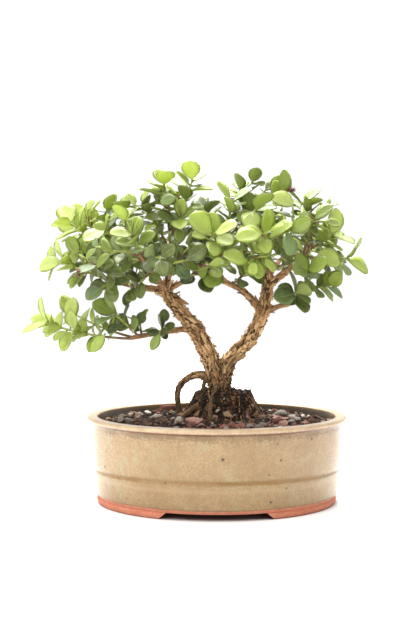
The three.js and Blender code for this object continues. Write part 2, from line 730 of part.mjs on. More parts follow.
// The stem as square rings, with a bud at its end, and each leaf as a thin folded blade that grows out of
// the side of the stem between two rings. Both faces of a blade are split alike.
function shootSolid(stem, leaves) {
  const points = [];
  const faces = [];
  const put = (point) => points.push(point) - 1;
  const ring = (share) => {
    const here = stem.at(share);
    const radius = THREE.MathUtils.lerp(...STEM_RADIUS, share) * Math.SQRT2;
    return [0, 1, 2, 3].map((corner) =>
      put(turnedAside(stem, here, stem.roll - 45 + 90 * corner).multiplyScalar(radius).add(here.point)),
    );
  };
  const half = STALK_HALF / stem.length;
  const rings = [0, ...stem.shares.flatMap((share) => [share - half, share + half])].map(ring);
  const last = stem.at(1);
  const bud = put(last.point.addScaledVector(last.along, BUD_LENGTH - PAIR_END));
  faces.push([rings[0][0], rings[0][2], rings[0][1]], [rings[0][0], rings[0][3], rings[0][2]]);
  const grown = new Map(leaves.map((leaf) => [leaf.at.join(), leaf]));
  for (let i = 0; i + 1 < rings.length; i++)
    for (let side = 0; side < 4; side++) {
      const next = (side + 1) % 4;
      const quad = [rings[i][side], rings[i][next], rings[i + 1][next], rings[i + 1][side]];
      const leaf = i % 2 ? grown.get([(i - 1) / 2, side].join()) : undefined;
      if (leaf) growLeaf(leaf, stem, quad, put, faces);
      else faces.push([quad[0], quad[1], quad[2]], [quad[0], quad[2], quad[3]]);
    }
  const top = rings.at(-1);
  top.forEach((corner, side) => faces.push([corner, top[(side + 1) % 4], bud]));
  const geometry = new THREE.BufferGeometry()
    .setAttribute("position", new THREE.Float32BufferAttribute(points.flatMap((p) => [p.x, p.y, p.z]), 3))
    .setIndex(faces.flat());
  return solidOf(geometry);
}

// One blade on the square of stem that it grows from, whose corners are taken with the least twist
function growLeaf(leaf, stem, quad, put, faces) {
  const here = stem.at(stem.shares[leaf.at[0]]);
  const outward = turnedAside(stem, here, stem.roll + 90 * leaf.at[1]);
  const right = here.along.clone().cross(outward);
  const twist = Math.atan2(leaf.across.dot(here.along), leaf.across.dot(right));
  const shift = (Math.round(twist / (Math.PI / 2)) + 4) % 4;
  const root = [0, 1, 2, 3].map((corner) => quad[(corner + shift) % 4]);
  const layer = (lift) =>
    leaf.corners.slice(2).map((corner) => put(corner.clone().addScaledVector(leaf.face, lift)));
  const upper = [root[3], root[2], ...layer(LEAF_THICKNESS / 2)];
  const lower = [root[0], root[1], ...layer(-LEAF_THICKNESS / 2)];
  const { tip } = leaf;
  const count = upper.length;
  for (let i = 0; i < count; i++) {
    const next = (i + 1) % count;
    if (i !== tip && next !== tip) {
      faces.push([upper[tip], upper[next], upper[i]], [lower[tip], lower[i], lower[next]]);
    }
    if (i > 0) faces.push([upper[i], upper[next], lower[next]], [upper[i], lower[next], lower[i]]);
  }
}

// Assembly

function mesh(name, solid, colour, roughness) {
  const material = new THREE.MeshStandardMaterial({ color: colour, roughness, metalness: 0 });
  const made = new THREE.Mesh(geometryOf(solid), material);
  made.name = name;
  return made;
}

const trunk = wood(0);
const pocketWood = wood(SEAT_GAP);
const tree = new THREE.Group();
tree.add(mesh("pot", pot(), COLOURS.glaze, 0.35));
tree.add(mesh("drain_screen_left", screen(-1), COLOURS.screen, 0.6));
tree.add(mesh("drain_screen_right", screen(1), COLOURS.screen, 0.6));
tree.add(mesh("soil", soil(pocketWood), COLOURS.soil, 0.95));
tree.add(mesh("trunk", trunk, COLOURS.bark, 0.9));

const stems = SHOOTS.map(shootStem);
const lines = stems.flatMap((stem) => {
  const points = [0, 1, 2, 3].map((step) => stem.at(step / 3).point);
  return points.slice(1).map((end, i) => {
    return { start: points[i], end, radius: STEM_RADIUS[0], owner: stem.name };
  });
});
for (const chain of [...Object.values(TRUNKS), ...Object.values(BOUGHS)])
  chain.slice(1).forEach((next, i) => {
    const radius = Math.max(chain[i][3], next[3]);
    lines.push({ start: vector(chain[i]), end: vector(next), radius, owner: "wood" });
  });

const placed = [];
stems.forEach((stem, index) => {
  const [size, tone] = SHOOTS[index].slice(-2);
  const leaves = shootLeaves(stem, index, size, placed, lines);
  const solid = mainBody(shootSolid(stem, leaves).subtract(pocketWood)).simplify(0.01);
  const colour = new THREE.Color(COLOURS.leafDark).lerp(new THREE.Color(COLOURS.leafLight), tone);
  tree.add(mesh("shoot_" + stem.name, solid, colour, 0.4));
});

// The origin is the middle of the whole object's footprint box, on the surface that the pot stands on
const box = new THREE.Box3().setFromObject(tree);
const middle = box.getCenter(new THREE.Vector3());
tree.position.set(-middle.x, -middle.y, -box.min.z);

export default tree;
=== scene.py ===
"""A dwarf natal plum grown as a bonsai in an oval stoneware pot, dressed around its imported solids.

Sizes are in millimetres in the pot's own frame, from the middle of its foot, until a mesh is made.
"""

import itertools
import json
import logging
import math
from dataclasses import dataclass, field
from enum import Enum
from typing import NamedTuple

import bmesh
import bpy
import numpy as np
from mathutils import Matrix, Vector

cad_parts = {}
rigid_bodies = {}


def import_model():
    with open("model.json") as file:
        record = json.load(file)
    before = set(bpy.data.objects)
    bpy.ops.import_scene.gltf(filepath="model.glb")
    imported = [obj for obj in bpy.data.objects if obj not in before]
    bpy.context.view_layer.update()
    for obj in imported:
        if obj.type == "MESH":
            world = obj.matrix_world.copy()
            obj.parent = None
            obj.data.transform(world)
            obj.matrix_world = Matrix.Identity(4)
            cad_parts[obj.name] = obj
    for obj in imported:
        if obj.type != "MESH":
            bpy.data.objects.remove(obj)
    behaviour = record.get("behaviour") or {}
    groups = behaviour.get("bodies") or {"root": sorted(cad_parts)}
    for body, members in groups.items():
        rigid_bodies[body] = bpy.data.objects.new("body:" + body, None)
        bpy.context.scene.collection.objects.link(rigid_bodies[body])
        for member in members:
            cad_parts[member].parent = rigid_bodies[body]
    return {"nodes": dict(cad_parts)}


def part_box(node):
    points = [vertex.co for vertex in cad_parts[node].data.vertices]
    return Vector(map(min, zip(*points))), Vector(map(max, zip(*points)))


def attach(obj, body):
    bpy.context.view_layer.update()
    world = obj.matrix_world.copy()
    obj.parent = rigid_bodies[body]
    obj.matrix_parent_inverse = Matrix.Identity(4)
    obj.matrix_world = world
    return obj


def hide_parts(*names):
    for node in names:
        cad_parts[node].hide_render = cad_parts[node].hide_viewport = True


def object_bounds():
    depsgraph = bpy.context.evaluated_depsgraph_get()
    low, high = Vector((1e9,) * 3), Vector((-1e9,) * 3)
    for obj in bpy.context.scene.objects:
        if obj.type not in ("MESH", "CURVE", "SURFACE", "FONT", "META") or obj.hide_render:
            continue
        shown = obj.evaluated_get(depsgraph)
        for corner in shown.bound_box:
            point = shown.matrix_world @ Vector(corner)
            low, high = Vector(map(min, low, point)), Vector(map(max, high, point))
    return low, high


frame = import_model()
CAD_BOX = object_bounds()

Array = np.ndarray
Faces = list[tuple[int, ...]]
Skin = tuple[Array, Faces]
Point = tuple[float, float, float]
Profile = tuple[tuple[float, float], ...]
Stops = tuple[tuple[float, str], ...]
Piece = bpy.types.Object
Material = bpy.types.Material
Tree = bpy.types.NodeTree
Node = bpy.types.Node
Socket = bpy.types.NodeSocket

LOG = logging.getLogger("bonsai")
MM = 0.001
BODY = "root"
# The share of a colour's light that suits the studio's strong lamps
TONED_DOWN = 0.74


def limbs(**chains: tuple[tuple[float, ...], ...]) -> dict[str, Array]:
    """Limbs by name, with one row of x, y, z and radius a point."""
    return {name: np.array(chain, float) for name, chain in chains.items()}


TRUNKS = limbs(
    trunk_left=((1.8, 8, 46, 6.8), (1, 8, 60, 5.8), (-1, 8, 73, 5.1), (-4.6, 7, 83.8, 4.8), (-8.5, 7, 90.8, 4.5),
        (-12.1, 6, 98.4, 4.4), (-17.2, 6, 104.8, 4.1), (-22.9, 5, 111.6, 3.8), (-27.3, 5, 117.6, 3.6),
        (-30, 5, 123.6, 3.1)),
    trunk_right=((2.6, 8, 46, 6.2), (3, 8, 60, 5.2), (5.6, 8, 77, 4.8), (11.6, 8, 84.8, 4.3), (17, 9, 90, 4.1),
        (21.9, 9, 96.7, 3.9), (25, 9, 103.7, 3.8), (27.3, 9, 109.5, 3.8), (29, 10, 117.1, 3.3),
        (30.5, 10, 127.7, 3.1), (29.8, 10, 136.4, 2.5), (27.8, 11, 144.4, 2), (24.4, 11, 151.6, 1.6)),
)
BOUGHS = limbs(
    low_left=((-12.5, 5, 99, 2.4), (-21.2, 4, 98.9, 1.8), (-30.6, 1, 97.2, 1.5), (-38.8, -2, 96.2, 1.4),
        (-44.7, -5, 95.5, 1.6), (-49.9, -7, 94.4, 1.1)),
    left_low=((-29.3, 4, 121.9, 2.4), (-37.3, 2, 122.5, 1.8), (-45.1, -2, 123.7, 1.6), (-56.2, -6, 126.6, 1.3),
        (-67.3, -9, 130.6, 1)),
    left_high=((-31, 6, 123.6, 1.9), (-41.2, 8, 132.9, 1.6), (-53.1, 10, 142.3, 1.3), (-66, 10, 149.4, 1)),
    mid_high=((-29.3, 3, 123.6, 2.2), (-26.8, 0, 134, 1.8), (-25.5, -3, 144.9, 1.5), (-23.2, -5, 155.7, 1.1)),
    inner_right=((-28.2, 5, 122.4, 1.9), (-17.8, 8, 127.7, 1.5), (-10, 12, 134.1, 1.2), (-4, 12, 143.4, 0.9)),
    left_front=((-29.8, 1, 122.5, 1.7), (-34.1, -14, 130, 1.4), (-38.2, -27, 135.5, 1.1), (-41.4, -36, 142.4, 0.9)),
    left_rear=((-30, 6, 122.4, 1.7), (-36, 22, 130, 1.4), (-44, 36, 137, 1.1), (-54, 46, 143, 0.9)),
    inner_left=((27.2, 9, 109.4, 2.6), (18.9, 6, 118.2, 2.1), (12.9, 3, 123, 1.9), (4.9, -2, 126.9, 1.6),
        (1.4, -8, 134, 1.3), (3.1, -14, 142.9, 0.9)),
    right_high=((24.4, 11, 151.6, 1.6), (19.6, 8, 159.8, 1.2), (16, 6, 166.7, 0.9)),
    right_front=((30, 8, 133, 1.8), (28.2, -8, 139.7, 1.4), (27.5, -22, 143.9, 1.1), (29.2, -32, 148, 0.9)),
    right_outer=((31.4, 9, 124.7, 2.2), (39.1, 7, 131.8, 1.9), (44.4, 4, 135.8, 1.6), (51.1, 0, 142.1, 1.2),
        (54.8, -3, 148.9, 0.9)),
    low_right=((29, 9, 108.9, 2), (35.9, 6, 112.2, 1.6), (42.6, 2, 114.1, 1.4), (48, -2, 118.5, 1.2),
        (52.9, -5, 124.3, 0.9)),
    right_rear=((30.3, 11, 131, 1.8), (38, 26, 139, 1.3), (46, 38, 146, 1)),
    mid_rear=((28, 12, 142, 1.6), (18, 26, 149, 1.2), (8, 38, 154, 0.9)),
)
ROOTS = limbs(
    root_arch=((-1, 9, 69.6, 2.5), (-6.5, 10, 71.4, 2.4), (-11.6, 11, 71.6, 2.3), (-16.8, 12, 69.6, 2.1),
        (-21.4, 12, 65.4, 2), (-23, 12, 60.2, 1.9), (-22.6, 12, 54.5, 1.8), (-21.8, 12, 48, 1.7),
        (-20.5, 12, 40, 1.3)),
    root_prop=((-4, 8, 72, 1.5), (-7, 7, 68, 1.3), (-7.6, 6, 60, 1.3), (-7, 6, 50, 1.2)),
    root_left=((-2, 5, 60, 2.2), (-9, 0, 56.5, 1.7), (-15.5, -4, 52.4, 1.5), (-21, -7, 48.6, 1.2), (-27, -9, 42, 0.9)),
    root_front=((0, 4, 65, 2.2), (-2.4, -3, 60.4, 1.6), (-3.6, -8.5, 54.6, 1.4), (-3.2, -13, 48.6, 1.2),
        (-1, -16, 41, 0.9)),
    root_right=((5, 6, 60, 2.2), (14, 4, 61, 1.5), (20.5, 2, 57.6, 1.3), (24.6, 1, 50.5, 1.2), (27, 0, 42, 0.9)),
    root_back=((4, 12, 60, 2.2), (8, 20, 60, 1.5), (12, 26.5, 54.5, 1.3), (15, 30, 47.5, 1.1), (17, 32, 41, 0.9)),
)
# Stubs of old twigs and a splinter that stand out of the trunks
KNOTS = limbs(
    splinter=((-25, 4, 118.5, 2.2), (-21.5, 3, 116.2, 1.6), (-18.3, 2.5, 114.6, 1), (-15.9, 2.3, 113.6, 0.35)),
    plate=((-16, 3.5, 105.5, 2.6), (-11, 3.2, 101.6, 2.2), (-6.9, 3.5, 97.6, 1.2)),
    stub_left=((-15.5, 5, 103.4, 2), (-19.6, 4, 102, 1.1)),
    stub_right=((29, 8, 112, 2), (33.4, 6.5, 109.4, 1.1)),
)


class ShootPlan(NamedTuple):
    """A leafy shoot of the solids: its bough and the share along it, its tip, its rise and its leaves."""

    bough: str
    name: str
    share: float
    x: float
    y: float
    z: float
    rise: float
    pairs: int
    roll: float
    size: float
    tone: float


class LeafPlan(NamedTuple):
    """A large leaf seen in front: its middle, turn, length, width and tone."""

    x: float
    z: float
    turn: float
    length: float
    width: float
    tone: float


# Name, share, tip, rise, pairs, roll, leaf length and tone, by bough
SHOOT_ROWS = {
    "low_left": (
        ("low_left_tip", 1, -97, -13, 104, -4, 5, 70, 14.5, 0.75),
        ("low_left_fork", 0.9, -83, 4, 108, -3, 3, 30, 13.4, 0.7),
        ("low_left_up", 0.8, -58, -13, 109, 1, 2, 10, 16, 0.35),
        ("low_left_bud", 0.74, -44.6, 3, 103.2, 0, 2, 20, 9, 0.1),
        ("low_left_inner", 0.42, -31, -7, 100.5, 0, 2, 30, 9.5, 0.05),
    ),
    "left_low": (
        ("left_low_tip", 1, -88, -14, 139.5, -2, 3, 60, 14, 0.8),
        ("left_low_front", 0.75, -62, -28, 124.5, 2, 3, 20, 11, 0.05),
        ("left_low_under", 0.5, -50, -17, 121.5, 0, 2, 60, 12, 0.35),
        ("left_mid", 0.9, -78.5, -4, 141.7, 2, 3, 10, 13.4, 0.15),
        ("left_mid_front", 0.62, -66, -29, 136.5, 3, 3, 40, 13.4, 0.1),
    ),
    "left_high": (
        ("left_tip", 1, -85, 2, 161, -2, 4, 50, 15, 0.9),
        ("left_crest_1", 0.92, -76.5, 2, 162.4, 3, 3, 20, 12, 0.4),
        ("left_crest_2", 0.8, -64, 10, 168.4, 2, 3, 50, 12, 0.35),
        ("left_crest_3", 0.6, -54, 2, 169.5, 3, 4, 25, 13.4, 0.4),
        ("left_face", 0.5, -62.5, -18, 156, 4, 3, 35, 13.4, 0.45),
        ("left_back", 0.72, -74, 30, 158.5, 2, 3, 25, 13, 0.4),
    ),
    "mid_high": (
        ("crown_top", 1, -13.5, 1, 186, 2, 4, 40, 15, 0.8),
        ("crown_top_left", 0.84, -30, -9, 183, 3, 4, 60, 16, 0.5),
        ("mid_face", 0.76, -19.8, -20, 163, 3, 3, 70, 15, 0.45),
        ("mid_left_crest", 0.6, -43.4, 2, 172, 4, 4, 20, 12, 0.35),
        ("mid_back", 0.48, -30, 28, 170.5, 5, 3, 60, 13, 0.35),
    ),
    "inner_right": (
        ("inner_low", 0.45, -8.5, -8, 130, 2, 2, 25, 12, 0.05),
        ("inner_face", 0.62, -9.5, -18, 143, 3, 3, 40, 12, 0.15),
        ("inner_crest", 1, -6.5, 4, 168.4, 0, 4, 60, 13.4, 0.25),
        ("inner_back", 0.85, -9, 38, 160.3, 4, 3, 15, 13, 0.35),
    ),
    "left_front": (
        ("front_spray", 1, -44.7, -43, 152.9, 2, 3, 20, 14, 0.7),
        ("front_dark", 0.8, -29, -46, 140, 2, 3, 50, 12, 0),
        ("front_right", 0.36, -15.5, -36, 139.1, 4, 3, 10, 12, 0.1),
        ("front_left", 0.9, -57, -43, 143.3, 3, 3, 40, 12, 0.2),
        ("front_low", 0.5, -42, -28, 127, 0, 2, 15, 11, 0),
    ),
    "left_rear": (
        ("rear_left", 1, -68, 56, 150, 1, 3, 30, 13, 0.5),
        ("rear_mid", 0.72, -37, 58, 149, 2, 3, 60, 13, 0.4),
        ("rear_side", 0.8, -76, 32, 139.5, 1, 3, 20, 13, 0.5),
    ),
    "inner_left": (
        ("inner_left_tip", 1, 9, -16, 173.2, 0, 4, 15, 14, 0.5),
        ("inner_left_face", 0.86, -1.8, -36, 154, 4, 3, 5, 16, 0.85),
        ("inner_left_low", 0.68, -6, -31, 138, 2, 2, 80, 17, 0.9),
        ("inner_left_hang", 0.5, 22, -9, 134, 2, 3, 40, 13.4, 0.5),
    ),
    "right_high": (
        ("right_top", 1, 13.5, 8, 181.6, 0, 3, 30, 12, 0.5),
        ("right_top_2", 0.55, 25.5, 4, 175.6, 3, 3, 75, 12, 0.3),
        ("right_face", 0.4, 21.5, -22, 166.6, 5, 3, 50, 15, 0.6),
        ("right_crest", 0.12, 38, -6, 174, 6, 4, 20, 15, 0.55),
    ),
    "right_front": (
        ("right_front_tip", 1, 24.5, -45, 152.9, 2, 3, 10, 17, 0.9),
        ("right_front_low", 0.62, 17, -38, 137.3, 2, 2, 60, 15, 0.85),
        ("right_front_out", 0.82, 40, -44, 153.9, 3, 3, 30, 13.4, 0.4),
    ),
    "right_outer": (
        ("right_crest_2", 1, 50, 2, 173.1, 0, 4, 40, 14, 0.4),
        ("right_crest_3", 0.7, 54, -20, 162, 3, 3, 5, 13.4, 0.2),
        ("right_tip_high", 0.86, 67, -6, 153.5, 0, 3, 60, 16, 0.8),
        ("right_tip_low", 0.7, 76, -8, 140, 0, 4, 40, 15, 0.35),
    ),
    "low_right": (
        ("low_right_front", 0.7, 43.5, -24, 121, 1, 3, 10, 13.4, 0.05),
        ("low_right_tip", 1, 65, -8, 124.5, -1, 4, 30, 12, 0.5),
        ("low_right_up", 0.88, 49.5, -26, 133.7, 2, 3, 15, 13.4, 0.35),
    ),
    "right_rear": (
        ("right_rear_tip", 1, 60, 50, 155, 1, 3, 30, 13, 0.5),
        ("right_rear_mid", 0.8, 35, 54, 160, 3, 4, 60, 13, 0.4),
        ("right_rear_side", 0.5, 66, 27, 146, 2, 4, 20, 13, 0.4),
    ),
    "mid_rear": (
        ("mid_rear_tip", 1, 2, 56, 160, 2, 4, 45, 13, 0.4),
    ),
}
SHOOTS = [ShootPlan(bough, *row) for bough, rows in SHOOT_ROWS.items() for row in rows]
LARGE_LEAVES = [LeafPlan(*row) for row in (
    (-82.5, 167.6, 100, 10.8, 10.2, 0.85), (-90.7, 159.7, 150, 11.3, 10.8, 0.95), (-78.5, 147.2, 120, 11.3, 7.9, 0.1),
    (-70.6, 138.1, 95, 11.9, 6.8, 0.1), (-30.3, 178.4, 172, 17, 9.6, 0.55), (-26.4, 172.2, 200, 9.6, 7.4, 0.2),
    (-28.1, 163.6, 20, 15.3, 7.9, 0.5), (-6, 158, 175, 14.2, 7.9, 0.95), (-34.3, 142.1, 260, 10.2, 7.4, 0.05),
    (-64.9, 111.5, 150, 15.3, 10.8, 0.4), (-82.5, 111.5, 80, 13.6, 9.1, 0.85), (-100.6, 104.7, 178, 14.7, 7.9, 1),
    (-59.3, 102.4, 250, 11.3, 7.9, 0.2), (-66.1, 92.8, 235, 12.5, 7.9, 0.6), (-34.3, 93.3, 245, 10.8, 5.7, 0.4),
    (-43.4, 105.8, 70, 7.9, 6.2, 0.1), (-30.3, 106.9, 90, 8.5, 6.2, 0.1), (26.4, 167.6, 170, 15.3, 13, 0.6),
    (37.1, 172.2, 160, 14.7, 10.2, 0.85), (35.4, 182.4, 75, 11.9, 10.2, 0.4), (19, 154, 160, 15.9, 8.5, 0.95),
    (67.8, 159.7, 40, 14.7, 8.5, 0.95), (72.3, 137, 82, 14.7, 10.2, 0.15), (62.7, 139.8, 150, 14.7, 11.3, 0.7),
    (57.6, 150.6, 80, 10.8, 7.4, 0.1),
)]


# Numbers and meshes


def lerp(low: float, high: float, share: float) -> float:
    """The value at the share of the way from low to high."""
    return low + (high - low) * share


def eased(values: Array, low: float, high: float) -> Array:
    """A smooth rise from 0 at low to 1 at high."""
    share = np.clip((values - low) / (high - low), 0, 1)
    return share * share * (3 - 2 * share)


def unit(vectors: Array) -> Array:
    """Vectors along the last axis, made one long."""
    return vectors / np.maximum(np.linalg.norm(vectors, axis=-1, keepdims=True), 1e-12)


def linear(code: str) -> tuple[float, ...]:
    """The linear colour of a six-figure hexadecimal code, toned down to suit the studio's strong lamps."""
    parts = [int(code[i : i + 2], 16) / 255 for i in (0, 2, 4)]
    return (*[TONED_DOWN * (p / 12.92 if p <= 0.04045 else ((p + 0.055) / 1.055) ** 2.4) for p in parts], 1.0)


class Draw:
    """The repeatable source of numbers from 0 to 1 that the solids' leaves and pebbles are placed with."""

    def __init__(self, seed: int) -> None:
        """Starts the source at the seed."""
        self.state = seed & 0xFFFFFFFF

    def __call__(self) -> float:
        """The next number."""
        self.state = (self.state * 1664525 + 1013904223) & 0xFFFFFFFF
        return self.state / 4294967296


class Grain:
    """Repeatable natural unevenness over arrays of points."""

    def __init__(self, seed: int) -> None:
        """Draws the tables that the pattern is read from.

        Args:
            seed: What they are drawn from.
        """
        source = np.random.default_rng(seed)
        order = source.permutation(256)
        self.order = np.concatenate([order, order])
        self.slopes = unit(source.normal(size=(256, 3)))
        self.spots = source.random((256, 3))
        self.levels = source.random(256)

    def _key(self, cell: Array) -> Array:
        """The table row of each whole-numbered cell."""
        x, y, z = np.moveaxis(cell & 255, -1, 0)
        return self.order[self.order[self.order[x] + y] + z]

    def swell(self, points: Array) -> Array:
        """Soft unevenness about one unit across.

        Args:
            points: The places, one row each.

        Returns:
            One value a row, about -1 to 1.
        """
        cell = np.floor(points).astype(int)
        inner = points - cell
        ease = inner**3 * (inner * (inner * 6 - 15) + 10)
        total = np.zeros(len(points))
        for corner in itertools.product((0, 1), repeat=3):
            offset = np.array(corner)
            slope = self.slopes[self._key(cell + offset)]
            weight = np.prod(np.where(offset, ease, 1 - ease), axis=1)
            total += weight * ((inner - offset) * slope).sum(1)
        return total * 1.7

    def plates(self, points: Array) -> tuple[Array, Array]:
        """Cells about one unit across, such as flakes of bark.

        Args:
            points: The places, one row each.

        Returns:
            How far each place is inside its cell, 0 on a border, and a value from 0 to 1 of its cell.
        """
        cell = np.floor(points).astype(int)
        best = np.full(len(points), 9.0)
        second = best.copy()
        own = np.zeros(len(points))
        for corner in itertools.product((-1, 0, 1), repeat=3):
            key = self._key(cell + np.array(corner))
            away = np.linalg.norm(cell + np.array(corner) + self.spots[key] - points, axis=1)
            nearer = away < best
            second = np.where(nearer, best, np.minimum(second, away))
            own = np.where(nearer, self.levels[key], own)
            best = np.where(nearer, away, best)
        return second - best, own


@dataclass(frozen=True)
class PotFrame:
    """The pot's own frame: millimetres from the middle of its foot, turned as the row frame is."""

    x: float
    y: float

    @classmethod
    def of_frame(cls) -> "PotFrame":
        """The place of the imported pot."""
        low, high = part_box("pot")
        return cls((low[0] + high[0]) / 2 / MM, (low[1] + high[1]) / 2 / MM)

    def metres(self, points: Array) -> Array:
        """Points of the pot's frame as points of the row frame, in metres."""
        return (np.asarray(points, float).reshape(-1, 3) + (self.x, self.y, 0.0)) * MM


PLACE = PotFrame.of_frame()


def linked(name: str, data: bpy.types.ID) -> Piece:
    """An object that holds the data, linked to the scene.

    Args:
        name: The object's name.
        data: Its mesh, lamp or lens.

    Returns:
        The object.
    """
    made = bpy.data.objects.new(name, data)
    bpy.context.scene.collection.objects.link(made)
    return made


def new_object(name: str, points: Array, faces: Faces, edges: Faces | None = None) -> Piece:
    """A mesh object from points of the pot's frame.

    Args:
        name: The object's name.
        points: Its vertices in millimetres.
        faces: Its faces, facing outwards.
        edges: Its loose edges, for a line drawing that a tree of nodes turns into tubes.

    Returns:
        The object, linked to the scene.
    """
    mesh = bpy.data.meshes.new(name)
    mesh.from_pydata(PLACE.metres(points).tolist(), edges or [], faces)
    mesh.update()
    return linked(name, mesh)


def write_attributes(piece: Piece, **columns: Array) -> None:
    """Stores columns of numbers, whole numbers or vectors, one a vertex, on the piece under their names.

    Args:
        piece: The piece.
        columns: The columns by name.
    """
    for name, values in columns.items():
        values = np.asarray(values)
        whole, vector = values.dtype.kind in "iu", values.ndim == 2
        layer = piece.data.attributes.new(name, "FLOAT_VECTOR" if vector else "INT" if whole else "FLOAT", "POINT")
        values = values.astype(np.int32 if whole else np.float32)
        layer.data.foreach_set("vector" if vector else "value", values.ravel())


def vectors_of(items: bpy.types.bpy_prop_collection, name: str) -> Array:
    """The vectors that a mesh's items hold under a name.

    Args:
        items: The items, such as vertices.
        name: The name.

    Returns:
        One row an item.
    """
    flat = np.empty(3 * len(items), np.float32)
    items.foreach_get(name, flat)
    return flat.reshape(-1, 3).astype(float)


def vertices_of(piece: Piece) -> Array:
    """The piece's vertices in the pot's frame, in millimetres."""
    return vectors_of(piece.data.vertices, "co") / MM - (PLACE.x, PLACE.y, 0.0)


def normals_of(piece: Piece) -> Array:
    """The piece's outward direction at each vertex."""
    return vectors_of(piece.data.vertex_normals, "vector")


def move_vertices(piece: Piece, points: Array) -> None:
    """Gives the piece new places for its vertices, in the pot's frame."""
    piece.data.vertices.foreach_set("co", PLACE.metres(points).astype(np.float32).ravel())
    piece.data.update()


def bake_modifiers(piece: Piece) -> None:
    """Turns what the piece's modifiers make into its plain mesh, and removes them.

    Args:
        piece: The piece.
    """
    graph = bpy.context.evaluated_depsgraph_get()
    graph.update()
    made = bpy.data.meshes.new_from_object(piece.evaluated_get(graph), depsgraph=graph)
    before = piece.data
    piece.modifiers.clear()
    piece.data = made
    made.name = piece.name
    bpy.data.meshes.remove(before)


def keep_largest(piece: Piece) -> None:
    """Drops crumbs that hang loose from the piece's main body.

    Args:
        piece: The piece.
    """
    work = bmesh.new()
    work.from_mesh(piece.data)
    left, islands = set(work.verts), []
    while left:
        island = [left.pop()]
        for vertex in island:
            near = {edge.other_vert(vertex) for edge in vertex.link_edges} & left
            island += near
            left -= near
        islands.append(island)
    for island in sorted(islands, key=len)[:-1]:
        bmesh.ops.delete(work, geom=island, context="VERTS")
    work.to_mesh(piece.data)
    work.free()


def shade(piece: Piece, crease: float | None = None) -> None:
    """Shades the piece smooth, with sharp edges where its faces turn by more than the crease, in degrees.

    Args:
        piece: The piece.
        crease: The least turn of a sharp edge; without it there are none.
    """
    work = bmesh.new()
    work.from_mesh(piece.data)
    for face in work.faces:
        face.smooth = True
    if crease is not None:
        for edge in work.edges:
            edge.smooth = edge.calc_face_angle(math.pi) < math.radians(crease)
    work.to_mesh(piece.data)
    work.free()


def dress(piece: Piece, slot: str, finish: Material, *nodes: str) -> None:
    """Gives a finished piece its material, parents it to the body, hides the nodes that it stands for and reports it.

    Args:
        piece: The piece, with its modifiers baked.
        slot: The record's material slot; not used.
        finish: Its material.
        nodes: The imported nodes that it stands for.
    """
    piece.data.materials.clear()
    piece.data.materials.append(finish)
    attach(piece, BODY)
    if nodes:
        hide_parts(*nodes)
    piece.data.calc_loop_triangles()
    LOG.info("%s: %d triangles, stands for %d nodes", piece.name, len(piece.data.loop_triangles), len(nodes))


def lofted(rings: list[Array]) -> Skin:
    """A skin through rings of equally many points, with a fan to the middle of each end ring.

    Args:
        rings: The rings, each turning anticlockwise seen from ahead.

    Returns:
        The vertices and the faces.
    """
    sides, count = len(rings[0]), len(rings) * len(rings[0])
    beside = [(side + 1) % sides for side in range(sides)]
    faces = [
        (ring + side, ring + beside[side], ring + beside[side] + sides, ring + side + sides)
        for ring in range(0, count - sides, sides)
        for side in range(sides)
    ]
    last = count - sides
    faces += [(beside[side], side, count) for side in range(sides)]
    faces += [(last + side, last + beside[side], count + 1) for side in range(sides)]
    ends = [rings[end].mean(0, keepdims=True) for end in (0, -1)]
    return np.vstack([*rings, *ends]), faces


def smooth_chain(rows: Array, step: float) -> Array:
    """Rows of x, y, z, radius about a step apart on a smooth curve through the chain's rows.

    Args:
        rows: The chain.
        step: How far apart the new rows are.

    Returns:
        The new rows.
    """
    rows = np.vstack([2 * rows[0] - rows[1], rows, 2 * rows[-1] - rows[-2]])
    parts = []
    for i in range(1, len(rows) - 2):
        a, b, c, d = rows[i - 1 : i + 3]
        count = max(2, round(float(np.linalg.norm((c - b)[:3])) / step))
        t = np.linspace(0, 1, count, endpoint=False)[:, None]
        cubic = (3 * b - a - 3 * c + d) * t**3
        parts.append(0.5 * (2 * b + (c - a) * t + (2 * a - 5 * b + 4 * c - d) * t**2 + cubic))
    return np.vstack([*parts, rows[-2][None]])


def limb_frames(points: Array) -> tuple[Array, Array, Array]:
    """The direction along a limb at each of its points, and two directions square to it that don't twist.

    Args:
        points: Its points in order.

    Returns:
        The three directions, one row a point each.
    """
    along = unit(np.gradient(points, axis=0))
    normal = np.array([0.3, -0.9, 0.2])
    normals = []
    for line in along:
        normal = unit(normal - normal.dot(line) * line)
        normals.append(normal)
    return along, np.array(normals), np.cross(along, normals)


def tube(rows: Array, sides: int) -> Skin:
    """A closed round limb through rows of x, y, z, radius.

    Args:
        rows: The rows.
        sides: How many sides it has.

    Returns:
        Its vertices and faces.
    """
    _, normal, across = limb_frames(rows[:, :3])
    turn = 2 * np.pi * np.arange(sides)[:, None] / sides
    rings = [
        row[:3] + row[3] * (np.cos(turn) * normal[i] + np.sin(turn) * across[i])
        for i, row in enumerate(rows)
    ]
    return lofted(rings)


# Trees of nodes


class Value:
    """A socket in a tree of nodes, which sums can be written with."""

    def __init__(self, sheet: "Sheet", socket: Socket) -> None:
        """Takes the sheet that it is drawn on and the socket."""
        self.sheet, self.socket = sheet, socket

    def __add__(self, other: object) -> "Value":
        """The sum of both."""
        return self.sheet.maths("ADD", self, other)

    def __sub__(self, other: object) -> "Value":
        """What is left of this one without the other."""
        return self.sheet.maths("SUBTRACT", self, other)

    def __mul__(self, other: object) -> "Value":
        """The product of both."""
        return self.sheet.maths("MULTIPLY", self, other)

    def span(self, low: float, high: float, start: float = 0, end: float = 1) -> "Value":
        """A smooth change from start to end as this goes from low to high."""
        settings = {"interpolation_type": "SMOOTHSTEP"}
        return self.sheet.out("ShaderNodeMapRange", settings, s0=self, s1=low, s2=high, s3=start, s4=end)


